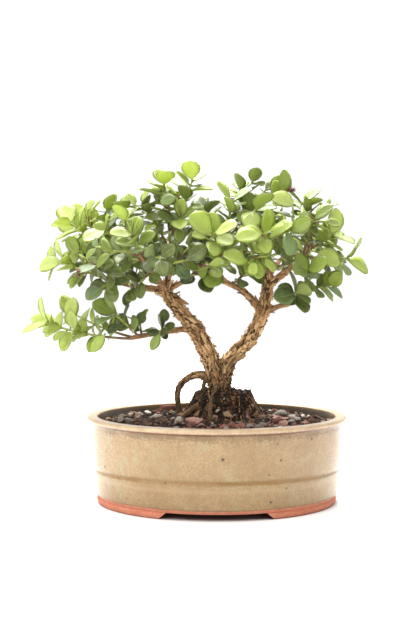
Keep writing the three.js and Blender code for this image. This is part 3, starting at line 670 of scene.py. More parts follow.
class Sheet:
    """A tree of nodes being drawn up, for a material, a shader group or geometry."""

    def __init__(self, tree: Tree) -> None:
        """Takes the tree to draw in."""
        self.tree = tree

    def node(self, kind: str, settings: dict | None = None, **sockets: object) -> Node:
        """Adds a node.

        Args:
            kind: The node's type.
            settings: Its own settings.
            sockets: Its inputs by name with _ for a space, or by place as s0, s1, each a value or a socket.

        Returns:
            The node.
        """
        made = self.tree.nodes.new(kind)
        for key, value in (settings or {}).items():
            setattr(made, key, value)
        for key, value in sockets.items():
            place = int(key[1:]) if key[0] == "s" and key[1:].isdigit() else key.replace("_", " ")
            self.put(made.inputs[place], value)
        return made

    def out(self, kind: str, settings: dict | None = None, part: int | str = 0, **sockets: object) -> Value:
        """What a new node puts out.

        Args:
            kind: The node's type.
            settings: Its own settings.
            part: Which of its outputs.
            sockets: Its inputs, as for node.

        Returns:
            The output.
        """
        return Value(self, self.node(kind, settings, **sockets).outputs[part])

    def put(self, socket: Socket, value: object) -> None:
        """Links a socket to the input, or sets it to a value, where a text is a colour's hexadecimal code.

        Args:
            socket: The input.
            value: The socket, value or text.
        """
        if isinstance(value, Value):
            value = value.socket
        if isinstance(value, Socket):
            self.tree.links.new(value, socket)
        else:
            socket.default_value = linear(value) if isinstance(value, str) and socket.type == "RGBA" else value

    def maths(self, operation: str, *values: object, clamp: bool = False) -> Value:
        """The result of a sum on numbers."""
        sockets = {f"s{i}": value for i, value in enumerate(values)}
        return self.out("ShaderNodeMath", {"operation": operation, "use_clamp": clamp}, **sockets)

    def vectors(self, operation: str, *values: object) -> Value:
        """The result of a sum on vectors."""
        sockets = {"Scale" if operation == "SCALE" and i else f"s{i}": value for i, value in enumerate(values)}
        return self.out("ShaderNodeVectorMath", {"operation": operation}, **sockets)

    def layers(self, base: object, *coats: tuple[object, object]) -> Value:
        """A colour with coats laid over it in turn, each the share that it covers and its colour.

        Args:
            base: The colour below.
            coats: The coats from below up.

        Returns:
            The colour.
        """
        for share, colour in coats:
            base = self.out("ShaderNodeMix", {"data_type": "RGBA"}, 2, s0=share, s6=base, s7=colour)
        return base

    def ramp(self, share: object, *stops: tuple[float, str]) -> Value:
        """A colour read from stops of place and hexadecimal code.

        Args:
            share: Where it is read, from 0 to 1.
            stops: The stops in order.

        Returns:
            The colour.
        """
        made = self.node("ShaderNodeValToRGB", s0=share)
        band = made.color_ramp.elements
        while len(band) < len(stops):
            band.new(0.5)
        for element, (place, code) in zip(band, stops, strict=True):
            element.position, element.color = place, linear(code)
        return Value(self, made.outputs[0])

    def noise(self, vector: object, scale: object, detail: float = 3, rough: float = 0.55) -> Value:
        """Soft cloudy values about 0 to 1."""
        return self.out("ShaderNodeTexNoise", Vector=vector, Scale=scale, Detail=detail, Roughness=rough)

    def read(self, name: str, part: str = "Fac") -> Value:
        """A value that the mesh holds, in a material."""
        return self.out("ShaderNodeAttribute", {"attribute_name": name}, part)

    def parts(self, vector: object) -> list[Value]:
        """The three numbers of a vector."""
        return [Value(self, part) for part in self.node("ShaderNodeSeparateXYZ", s0=vector).outputs]


class Effect(Enum):
    """The shader groups that several finishes share."""

    MOTTLE = "mottle"
    SPECKS = "specks"
    STREAKS = "streaks"


class Effects:
    """Builds each shared shader group once."""

    def __init__(self) -> None:
        """Builds the three groups."""
        self.trees = {Effect.MOTTLE: self._mottle(), Effect.SPECKS: self._specks(), Effect.STREAKS: self._streaks()}

    @staticmethod
    def _group(
        effect: Effect, inputs: dict[str, float], outputs: tuple[str, ...]
    ) -> tuple[Sheet, dict[str, Value], Node]:
        """An empty shader group that takes a vector.

        Args:
            effect: What it is for.
            inputs: Its other inputs and what they start at.
            outputs: Its outputs.

        Returns:
            Its sheet, its inputs by name and its output node.
        """
        tree = bpy.data.node_groups.new(effect.value, "ShaderNodeTree")
        tree.interface.new_socket("Vector", in_out="INPUT", socket_type="NodeSocketVector")
        for name, start in inputs.items():
            tree.interface.new_socket(name, in_out="INPUT", socket_type="NodeSocketFloat").default_value = start
        for name in outputs:
            tree.interface.new_socket(name, in_out="OUTPUT", socket_type="NodeSocketFloat")
        sheet = Sheet(tree)
        given = {part.name: Value(sheet, part) for part in sheet.node("NodeGroupInput").outputs if part.name}
        return sheet, given, sheet.node("NodeGroupOutput")

    def _mottle(self) -> Tree:
        """Broad patches and fine cloudiness.

        Returns:
            The group.
        """
        sheet, given, out = self._group(Effect.MOTTLE, {"Scale": 60.0}, ("Broad", "Fine"))
        sheet.put(out.inputs["Broad"], sheet.noise(given["Vector"], given["Scale"], 3, 0.6).span(0.36, 0.64))
        sheet.put(out.inputs["Fine"], sheet.noise(given["Vector"], given["Scale"] * 9.0, 4, 0.65).span(0.3, 0.7))
        return sheet.tree

    def _specks(self) -> Tree:
        """Scattered round specks of uneven size.

        Returns:
            The group.
        """
        sheet, given, out = self._group(Effect.SPECKS, {"Scale": 300.0, "Amount": 0.3, "Size": 0.3}, ("Mask",))
        cells = sheet.node("ShaderNodeTexVoronoi", Vector=given["Vector"], Scale=given["Scale"])
        level = sheet.parts(cells.outputs["Color"])
        near = given["Size"] * level[1].span(0, 1, 0.5, 1.2) - cells.outputs["Distance"]
        chosen = sheet.maths("LESS_THAN", level[0], given["Amount"])
        sheet.put(out.inputs["Mask"], chosen * sheet.maths("MULTIPLY", near, 12.0, clamp=True))
        return sheet.tree

    def _streaks(self) -> Tree:
        """Fibres or runs along the third part of the vector.

        Returns:
            The group.
        """
        sheet, given, out = self._group(Effect.STREAKS, {"Scale": 1.0, "Length": 0.12}, ("Coarse", "Fine"))
        squeeze = sheet.out("ShaderNodeCombineXYZ", X=1.0, Y=1.0, Z=given["Length"])
        run = sheet.vectors("MULTIPLY", given["Vector"], squeeze)
        sheet.put(out.inputs["Coarse"], sheet.noise(run, given["Scale"], 3, 0.6).span(0.34, 0.66))
        sheet.put(out.inputs["Fine"], sheet.noise(run, given["Scale"] * 3.3, 4, 0.7).span(0.3, 0.7))
        return sheet.tree


EFFECTS = Effects()


class Paint(Sheet):
    """A material being drawn up round its Principled shader."""

    def __init__(self, name: str) -> None:
        """Starts the material.

        Args:
            name: Its name.
        """
        self.material = bpy.data.materials.new(name)
        self.material.use_nodes = True
        super().__init__(self.material.node_tree)
        self.shader = self.tree.nodes["Principled BSDF"]
        self.place = self.out("ShaderNodeTexCoord", None, "Object")

    def effect(self, effect: Effect, vector: object = None, **values: float) -> dict[str, Value]:
        """Places a shared group with its own values.

        Args:
            effect: Which group.
            vector: What it is drawn over, the object's coordinates if not given.
            values: Its inputs by name.

        Returns:
            Its outputs by name.
        """
        sockets = {"Vector": self.place if vector is None else vector, **values}
        made = self.node("ShaderNodeGroup", {"node_tree": EFFECTS.trees[effect]}, **sockets)
        return {part.name: Value(self, part) for part in made.outputs}

    def specks(self, scale: float, amount: float, size: float) -> Value:
        """Scattered specks over the object's coordinates."""
        return self.effect(Effect.SPECKS, Scale=scale, Amount=amount, Size=size)["Mask"]

    def finish(self, colour: object, relief: Value, depth: float, **others: object) -> Material:
        """Sets the shader.

        Args:
            colour: Its base colour.
            relief: The height that its surface is raised by.
            depth: How far, in millimetres.
            others: The shader's other inputs, with _ for a space.

        Returns:
            The material.
        """
        others["Normal"] = self.out("ShaderNodeBump", Strength=1.0, Distance=depth * MM, Height=relief)
        for name, value in {"Base_Color": colour, **others}.items():
            self.put(self.shader.inputs[name.replace("_", " ")], value)
        return self.material


# Finishes


@dataclass(frozen=True)
class GlazeFinish:
    """Stoneware with an ash glaze over red clay, which stays bare at the foot."""

    body: str = "a38459"
    pale: str = "b79b6e"
    brown: str = "84613a"
    green: str = "a2a077"
    olive: str = "6d4f20"
    inner: str = "3c2d1f"
    lip: str = "bf9f79"
    clay: str = "cd7e5e"
    glaze_foot: float = 5.7
    groove: float = 20.7

    def make(self) -> Material:
        """Builds the material from the pot's heights and its stored inset from the lip.

        Returns:
            The material.
        """
        paint = Paint("stoneware_glaze")
        height, inset = paint.parts(paint.place)[2] * (1 / MM), paint.read("inset")
        cloud, patch, freckle, grain = (paint.effect(Effect.MOTTLE, Scale=s) for s in (36.0, 85.0, 230.0, 1000.0))
        runs = paint.effect(Effect.STREAKS, Scale=520.0, Length=0.07)
        iron, grit = paint.specks(115.0, 0.9, 0.11), paint.specks(900.0, 0.4, 0.34)
        wander, fine = runs["Fine"] - 0.5, freckle["Fine"]
        # The glaze breaks olive where it gathers: in drips under the lip and in the groove
        drips = (height + wander * 1.6 + (grain["Broad"] - 0.5) * 1.6).span(42.2, 45.2)
        drips = drips * patch["Broad"].span(0, 1, 0.4, 0.9)
        groove = self._band(paint, height + (grain["Broad"] - 0.5) * 0.8, self.groove, 1.7)
        groove = groove * fine.span(0.1, 0.6, 0.5, 1) * cloud["Broad"].span(0, 1, 0.45, 1)
        # On the lip the glaze is pale and thin, and red clay shows along its lower edge
        lip = height.span(46.9, 47.5) * inset.span(2.4, 1.9)
        lip = paint.maths("MAXIMUM", lip, height.span(48.9, 49.6) * inset.span(7.4, 6.0))
        edge = self._band(paint, height + wander * 0.5, 47.1, 1.0) * inset.span(2.3, 1.8) * fine.span(0.1, 0.5, 0.6, 1)
        # Bare red clay below an uneven edge of the glaze
        level = height + (cloud["Fine"] - 0.5) * 0.9
        bare = level.span(self.glaze_foot + 0.16, self.glaze_foot - 0.16)
        clay = paint.layers(
            self.clay, (freckle["Broad"] * 0.5, "dc957a"), (grit * 0.5, "9a563c"),
            (height.span(1.2, 0, 0, 0.5), "744236"),
        )
        colour = paint.layers(
            self.body,
            (cloud["Broad"] * 0.8, self.pale),
            (freckle["Broad"] * 0.35, self.brown),
            (cloud["Fine"] * 0.3, self.brown),
            (grain["Broad"] * 0.55, self.brown),
            (grain["Fine"] * 0.35, self.pale),
            (patch["Broad"].span(0.7, 1.0) * cloud["Broad"] * 0.35, self.green),
            (runs["Coarse"] * 0.1, self.pale),
            (drips * 0.85, self.olive),
            (paint.specks(1300.0, 0.6, 0.45) * height.span(36, 46.5, 0, 0.75), self.olive),
            (groove, "855a12"),
            (self._band(paint, height, self.groove - 4.4, 1.8) * 0.25, self.lip),
            (iron, "35241a"),
            (lip * 0.9, paint.layers(self.lip, (freckle["Broad"] * 0.7, "9a764f"), (grain["Fine"] * 0.5, "e4d2b0"))),
            (edge, "6a3a2c"),
            (inset.span(6.1, 6.8) * height.span(7, 9), paint.layers(self.inner, (cloud["Broad"], "5c4a31"))),
            (bare, clay),
            (self._band(paint, level, self.glaze_foot + 0.45, 0.4) * 0.45, "6b5238"),
        )
        relief = bare * -0.5 + fine * 0.16 + grain["Broad"] * 0.1 - iron * 0.25 + grit * bare * 0.4
        return paint.finish(
            colour, relief, 0.35,
            Roughness=fine.span(0, 1, 0.26, 0.42) + bare * 0.45,
            Coat_Weight=bare.span(0, 1, 0.3, 0),
            Coat_Roughness=0.12,
            Specular_IOR_Level=0.4,
        )

    @staticmethod
    def _band(paint: Paint, height: Value, middle: float, half: float) -> Value:
        """A soft stripe round the pot, from its height's value, its middle and half its width."""
        return paint.maths("ABSOLUTE", height - middle).span(half, half * 0.15)


@dataclass(frozen=True)
class BarkFinish:
    """Flaky tan bark, darker deep between its plates, partly its own colour and partly painted shade, smoother and
    redder on young wood, dark and mossy at the foot.
    """

    ridge: str = "d6a06c"
    pale: str = "f0cd98"
    crevice: str = "44291a"
    young: str = "b28763"
    damp: str = "33251a"
    moss: str = "4b4b29"

    def make(self) -> Material:
        """Builds the material from the values that the wood's mesh holds.

        Returns:
            The material.
        """
        paint = Paint("natal_plum_bark")
        limb = paint.read("limb", "Vector")
        cavity, girth, wet, flake = (paint.read(name) for name in ("cavity", "girth", "wet", "tone"))
        fibre = paint.effect(Effect.STREAKS, limb, Scale=1.5, Length=0.14)
        thread = paint.effect(Effect.STREAKS, limb, Scale=4.2, Length=0.1)
        cloud = paint.effect(Effect.MOTTLE, Scale=130.0)
        youth = girth.span(2.3, 1.4)
        colour = paint.layers(
            self.ridge,
            (cloud["Broad"], "b8854f"),
            (fibre["Coarse"] * 0.6, self.pale),
            (flake.span(0.35, 1.0, 0, 0.65), self.pale),
            (flake.span(0.32, 0.02, 0, 0.7), "9c6c4a"),
            (thread["Fine"] * 0.4, "75532f"),
            (youth * 0.6, self.young),
            (paint.specks(260.0, 0.16, 0.3) * 0.3, "82845c"),
            # Painted shade over the bark's own dark colour: darker deep between the plates, less on young wood
            (cavity.span(0.34, 0.72) * youth.span(0, 1, 0.95, 0.5), self.crevice),
            (wet * cloud["Fine"].span(0.1, 0.9, 0.6, 1) * 0.78, self.damp),
            (wet * cloud["Broad"].span(0.45, 0.9) * 0.5, self.moss),
        )
        return paint.finish(
            colour, fibre["Coarse"] + thread["Fine"] * 0.6, 0.25,
            Roughness=thread["Coarse"].span(0, 1, 0.78, 0.95), Specular_IOR_Level=0.22,
        )


@dataclass(frozen=True)
class StoneFinish:
    """Loose pieces of the potting mix, each of its own tone."""

    name: str
    tones: Stops
    speck: str
    grain: float = 700.0
    rough: float = 0.9
    depth: float = 0.25

    def make(self) -> Material:
        """Builds the material, which reads each piece's tone.

        Returns:
            The material.
        """
        paint = Paint(self.name)
        cloud, dots = paint.effect(Effect.MOTTLE, Scale=self.grain * 0.4), paint.specks(self.grain, 0.3, 0.35)
        colour = paint.ramp(paint.read("tone"), *self.tones)
        colour = paint.layers(colour, (cloud["Fine"] * 0.35, self.speck), (dots * 0.4, self.speck))
        return paint.finish(
            colour, cloud["Fine"] - dots * 0.7, self.depth,
            Roughness=cloud["Broad"].span(0, 1, self.rough - 0.12, self.rough), Specular_IOR_Level=0.25,
        )


@dataclass(frozen=True)
class LeafFinish:
    """Leathery leaves: paler rib, veins and margin, a dull paler underside, and light that shines through."""

    tones: Stops = (
        (0.0, "3e461b"), (0.28, "687830"), (0.5, "9aaf4b"), (0.75, "cadb70"), (1.0, "e9f49c"),
    )
    shine: float = 0.32

    def make(self) -> Material:
        """Builds the material from each leaf's own map and tone.

        Returns:
            The material.
        """
        paint = Paint("natal_plum_leaf")
        tone, under = paint.read("tone"), paint.read("under")
        along, across, _ = paint.parts(paint.out("ShaderNodeUVMap", {"uv_map": "leaf"}))
        aside = paint.maths("ABSOLUTE", across - 0.5)
        cloud = paint.effect(Effect.MOTTLE, Scale=150.0)
        # Rib, and side veins that leave it at an angle
        rib = (aside + along * 0.012).span(0.034, 0.012)
        comb = paint.maths("SINE", (along - aside * 0.75) * 62.0)
        vein = comb.span(0.6, 1.0) * aside.span(0.46, 0.2, 0, 0.3)
        pale = paint.maths("MAXIMUM", rib * 0.55, vein)
        pale = paint.maths("MAXIMUM", pale, paint.read("rim").span(0.8, 1.0, 0, 0.55))
        # The tone is partly the leaf's own age and partly painted light, paler on outer leaves and at the left
        colour = paint.layers(
            paint.ramp(tone, *self.tones),
            # Some darker leaves turn blue-green: partly the colour of older leaves, partly a painted reflection of the
            # white surround
            (paint.read("cool"), paint.ramp(tone, (0.0, "3f5a3e"), (1.0, "a3bd8a"))),
            (cloud["Broad"] * 0.25, "9cb257"),
            (cloud["Fine"].span(0.35, 0.9, 0, 0.32), paint.ramp(tone, (0.0, "2f3a17"), (1.0, "a3bd4e"))),
        )
        colour = paint.layers(colour, (pale, paint.layers(colour, (0.45, "d9e48c"))))
        dull = paint.layers(colour, (0.35, "b3bd70"))
        colour = paint.layers(colour, (under, dull), (along.span(0.1, 0.03), "9aa64c"))
        glow = paint.out("ShaderNodeBsdfTranslucent", Color=paint.layers(colour, (0.4, "d2e05c")))
        made = paint.finish(
            colour, pale * -0.6 + paint.specks(1500.0, 0.4, 0.35) * 0.14 + cloud["Fine"] * 0.4, 0.26,
            Roughness=cloud["Fine"].span(0, 1, self.shine - 0.06, self.shine + 0.1) + under * 0.22,
            Coat_Weight=under.span(0, 1, 0.24, 0),
            Coat_Roughness=0.2,
            Specular_IOR_Level=0.2,
        )
        lit = tone.span(0.1, 0.9, 0.1, 0.48)
        joined = paint.out("ShaderNodeMixShader", s0=lit, s1=paint.shader.outputs[0], s2=glow)
        paint.put(paint.tree.nodes["Material Output"].inputs["Surface"], joined)
        return made


@dataclass(frozen=True)
class TwigFinish:
    """Young wood: yellow-green at the tip of a shoot, brown where it leaves its bough."""

    green: str = "a7b64c"
    brown: str = "7d5a3d"

    def make(self) -> Material:
        """Builds the material, which reads how old the wood is.

        Returns:
            The material.
        """
        paint = Paint("young_twig")
        cloud = paint.effect(Effect.MOTTLE, Scale=260.0)
        age = paint.read("age") + cloud["Broad"].span(0, 1, -0.15, 0.15)
        colour = paint.layers(
            self.green,
            (age.span(0.35, 0.85), self.brown),
            (paint.specks(900.0, 0.35, 0.35) * 0.4, "b89f70"),
            (cloud["Fine"] * 0.2, "4e3d24"),
        )
        return paint.finish(colour, cloud["Fine"], 0.15, Roughness=age.span(0.2, 0.9, 0.5, 0.85))


@dataclass(frozen=True)
class SpineFinish:
    """Spines, buds and dry petals, red-brown with an orange tip."""

    name: str = "spine"
    tones: Stops = ((0.0, "7a8a3c"), (0.45, "8a5a34"), (0.8, "9c4a26"), (1.0, "c96a32"))

    def make(self) -> Material:
        """Builds the material, which reads the place along each spine.

        Returns:
            The material.
        """
        paint = Paint(self.name)
        cloud = paint.effect(Effect.MOTTLE, Scale=500.0)
        colour = paint.layers(paint.ramp(paint.read("tip"), *self.tones), (cloud["Fine"] * 0.25, "4e2c1a"))
        return paint.finish(colour, cloud["Fine"], 0.08, Roughness=cloud["Broad"].span(0, 1, 0.4, 0.6))


@dataclass(frozen=True)
class BedFinish:
    """Fine dark soil between the loose pieces, with rust-coloured dust and moss on the root mound."""

    def make(self) -> Material:
        """Builds the material from object coordinates and the stored share of mound.

        Returns:
            The material.
        """
        paint = Paint("fine_soil")
        cloud, mound = paint.effect(Effect.MOTTLE, Scale=140.0), paint.read("mound")
        grit = paint.specks(800.0, 0.5, 0.4)
        colour = paint.layers(
            "1f150f",
            (cloud["Broad"], "33241a"),
            (grit * 0.5, "4d3a2d"),
            (mound * cloud["Broad"].span(0.55, 0.95, 0, 0.5), "45401f"),
            (paint.specks(420.0, 0.16, 0.32) * mound.span(0, 1, 0.25, 0.85), "99502c"),
        )
        return paint.finish(
            colour, cloud["Fine"] + grit, 0.6,
            Roughness=cloud["Fine"].span(0, 1, 0.85, 0.98), Specular_IOR_Level=0.2,
        )


@dataclass(frozen=True)
class ScreenFinish:
    """Dark plastic mesh over the drainage holes, dusty with soil."""

    def make(self) -> Material:
        """Builds the material.

        Returns:
            The material.
        """
        paint = Paint("drain_mesh")
        cloud = paint.effect(Effect.MOTTLE, Scale=160.0)
        dust = paint.specks(1200.0, 0.4, 0.4)
        colour = paint.layers("232421", (cloud["Fine"], "34352f"), (dust * 0.6, "6b5946"))
        return paint.finish(colour, cloud["Fine"], 0.1, Roughness=cloud["Broad"].span(0, 1, 0.45, 0.7))


# Geometry trees


class Planting:
    """Trees of geometry nodes that set parts out along surfaces, at points and along lines."""

    def __init__(self) -> None:
        """Builds the three trees."""
        self.scatter, self.setting, self.tubes = self._scatter_tree(), self._setting_tree(), self._tube_tree()

    @staticmethod
    def _tree(name: str, **inputs: tuple[str, object]) -> tuple[Sheet, dict[str, Value]]:
        """An empty geometry tree.

        Args:
            name: The tree's name.
            inputs: The kind of each of its own inputs and what it starts at.

        Returns:
            Its sheet and its inputs by name.
        """
        tree = bpy.data.node_groups.new(name, "GeometryNodeTree")
        given = {"Geometry": ("Geometry", None), **inputs, "Smooth": ("Bool", True), "Finish": ("Material", None)}
        for key, (kind, start) in given.items():
            socket = tree.interface.new_socket(key, in_out="INPUT", socket_type="NodeSocket" + kind)
            if start is not None:
                socket.default_value = start
        tree.interface.new_socket("Geometry", in_out="OUTPUT", socket_type="NodeSocketGeometry")
        sheet = Sheet(tree)
        return sheet, {part.name: Value(sheet, part) for part in sheet.node("NodeGroupInput").outputs if part.name}

    @staticmethod
    def _held(sheet: Sheet, name: object, kind: str = "FLOAT_VECTOR") -> Value:
        """A value that the geometry holds under the name."""
        return sheet.out("GeometryNodeInputNamedAttribute", {"data_type": kind}, s0=name)

    @staticmethod
    def _random(sheet: Sheet, kind: str, low: object, high: object, seed: object) -> Value:
        """A random value between low and high for each point.

        Args:
            sheet: The tree's sheet.
            kind: The kind of value.
            low: The least.
            high: The most.
            seed: The seed.

        Returns:
            The value.
        """
        first, second, result = {"FLOAT_VECTOR": (0, 1, 0), "FLOAT": (2, 3, 1), "INT": (4, 5, 2)}[kind]
        sockets = {f"s{first}": low, f"s{second}": high, "Seed": seed}
        return sheet.out("FunctionNodeRandomValue", {"data_type": kind}, result, **sockets)

    @staticmethod
    def _finish(sheet: Sheet, value: dict[str, Value], made: Value) -> Tree:
        """Ends a tree: real geometry, shaded and with its finish.

        Args:
            sheet: The tree's sheet.
            value: Its inputs.
            made: The geometry.

        Returns:
            The tree.
        """
        real = sheet.out("GeometryNodeRealizeInstances", s0=made)
        smooth = sheet.out("GeometryNodeSetShadeSmooth", s0=real, Shade_Smooth=value["Smooth"])
        sheet.node("NodeGroupOutput", s0=sheet.out("GeometryNodeSetMaterial", s0=smooth, Material=value["Finish"]))
        return sheet.tree

    def _planted(self, sheet: Sheet, value: dict[str, Value], points: object, **how: object) -> Tree:
        """Ends a tree that sets a part at each point.

        Args:
            sheet: The tree's sheet.
            value: Its inputs.
            points: The points.
            how: The up and ahead directions, the kind and the size of each part.

        Returns:
            The tree.
        """
        axes = {"primary_axis": "Z", "secondary_axis": "X"}
        turn = sheet.out("FunctionNodeAxesToRotation", axes, Primary_Axis=how["up"], Secondary_Axis=how["ahead"])
        parts = sheet.out("GeometryNodeCollectionInfo", Collection=value["Parts"], Separate_Children=True)
        planted = sheet.out(
            "GeometryNodeInstanceOnPoints", Points=points, Instance=parts, Pick_Instance=True,
            Instance_Index=how["kind"], Rotation=turn, Scale=how["size"],
        )
        return self._finish(sheet, value, planted)

    def _scatter_tree(self) -> Tree:
        """Loose pieces strewn over a surface where it holds the cover, lying on it at any turn or along its run.

        Returns:
            The tree.
        """
        sheet, value = self._tree(
            "strewn_pieces", Parts=("Collection", None), Kinds=("Int", 5), Cover=("String", "cover"),
            Spacing=("Float", 0.001), Density=("Float", 3e5), Smallest=("Float", 0.001), Largest=("Float", 0.002),
            Sink=("Float", 0.3), Tilt=("Float", 0.5), Follow=("Float", 0.0), Seed=("Int", 1),
        )
        seeds = [value["Seed"] + float(i) for i in range(1, 6)]
        spread = sheet.node(
            "GeometryNodeDistributePointsOnFaces", {"distribute_method": "POISSON"}, Mesh=value["Geometry"],
            Distance_Min=value["Spacing"], Density_Max=value["Density"], Seed=value["Seed"],
            Density_Factor=self._held(sheet, value["Cover"], "FLOAT"),
        )
        share = sheet.maths("POWER", self._random(sheet, "FLOAT", 0.0, 1.0, seeds[0]), 1.8)
        size = share * (value["Largest"] - value["Smallest"]) + value["Smallest"]
        loose, aside = (self._random(sheet, "FLOAT_VECTOR", (-1.0,) * 3, (1.0,) * 3, seed) for seed in seeds[1:3])
        aside = sheet.vectors("SCALE", aside, sheet.maths("SUBTRACT", 1.0, value["Follow"]))
        ahead = sheet.vectors("ADD", sheet.vectors("SCALE", self._held(sheet, "run"), value["Follow"]), aside)
        up = sheet.vectors("ADD", spread.outputs["Normal"], sheet.vectors("SCALE", loose, value["Tilt"]))
        drop = sheet.vectors("SCALE", spread.outputs["Normal"], size * value["Sink"] * -1.0)
        placed = sheet.out("GeometryNodeSetPosition", Geometry=spread.outputs["Points"], Offset=drop)
        toned = sheet.out(
            "GeometryNodeStoreNamedAttribute", {"data_type": "FLOAT", "domain": "POINT"},
            Geometry=placed, Name="tone", Value=self._random(sheet, "FLOAT", 0.0, 1.0, seeds[3]),
        )
        kind = self._random(sheet, "INT", 0, value["Kinds"] - 1.0, seeds[4])
        return self._planted(sheet, value, toned, up=up, ahead=ahead, kind=kind, size=size)

    def _setting_tree(self) -> Tree:
        """Parts set at given points, each with its own direction, face, spread and kind.

        Returns:
            The tree.
        """
        sheet, value = self._tree("set_parts", Parts=("Collection", None))
        held = {key: self._held(sheet, name) for key, name in (("up", "face"), ("ahead", "run"), ("size", "spread"))}
        return self._planted(sheet, value, value["Geometry"], kind=self._held(sheet, "kind", "INT"), **held)

    def _tube_tree(self) -> Tree:
        """Round stems along lines, as thick as the line holds at each point.

        Returns:
            The tree.
        """
        sheet, value = self._tree("round_stems", Sides=("Int", 6))
        line = sheet.out("GeometryNodeMeshToCurve", s0=value["Geometry"])
        ring = sheet.out("GeometryNodeCurvePrimitiveCircle", Resolution=value["Sides"], Radius=1.0)
        thick = {"Scale": self._held(sheet, "thick", "FLOAT"), "Fill_Caps": True}
        return self._finish(sheet, value, sheet.out("GeometryNodeCurveToMesh", Curve=line, Profile_Curve=ring, **thick))


@dataclass
class PartTray:
    """A hidden tray of small parts that a tree of nodes picks from, in order."""

    name: str
    tray: bpy.types.Collection = field(init=False)
    count: int = 0

    def __post_init__(self) -> None:
        """Makes the empty tray."""
        self.tray = bpy.data.collections.new(self.name)
        bpy.context.scene.collection.children.link(self.tray)

    def add(self, points: Array, faces: Faces, **columns: Array) -> Piece:
        """Adds a part made at the origin, one unit across, with the values it holds.

        Args:
            points: Its vertices.
            faces: Its faces.
            columns: The values by name, one a vertex.

        Returns:
            The part.
        """
        mesh = bpy.data.meshes.new(f"{self.name}_{self.count:02d}")
        mesh.from_pydata(np.asarray(points, float).tolist(), [], faces)
        mesh.update()
        part = bpy.data.objects.new(mesh.name, mesh)
        write_attributes(part, **columns)
        self.tray.objects.link(part)
        self.count += 1
        return part

    def clear(self) -> None:
        """Takes the parts out of the file once the pieces are made."""
        for part in list(self.tray.objects):
            mesh = part.data
            bpy.data.objects.remove(part)
            bpy.data.meshes.remove(mesh)
        bpy.data.collections.remove(self.tray)


PLANTING = Planting()


def grow(
    piece: Piece, tree: Tree, slot: str, finish: Material, values: dict[str, object], nodes: tuple[str, ...] = ()
) -> None:
    """Runs a tree on a piece and declares what it leaves as the piece's plain mesh.

    Args:
        piece: The piece that carries the tree's input.
        tree: The tree.
        slot: The record's material slot.
        finish: The piece's material.
        values: The tree's inputs by name, with a tray for the parts.
        nodes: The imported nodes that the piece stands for.
    """
    added = piece.modifiers.new("made", "NODES")
    added.node_group = tree
    for item in tree.interface.items_tree:
        if item.in_out == "INPUT" and item.name in {"Finish", *values}:
            value = values.get(item.name, finish)
            added[item.identifier] = value.tray if isinstance(value, PartTray) else value
    bake_modifiers(piece)
    dress(piece, slot, finish, *nodes)


# Pot


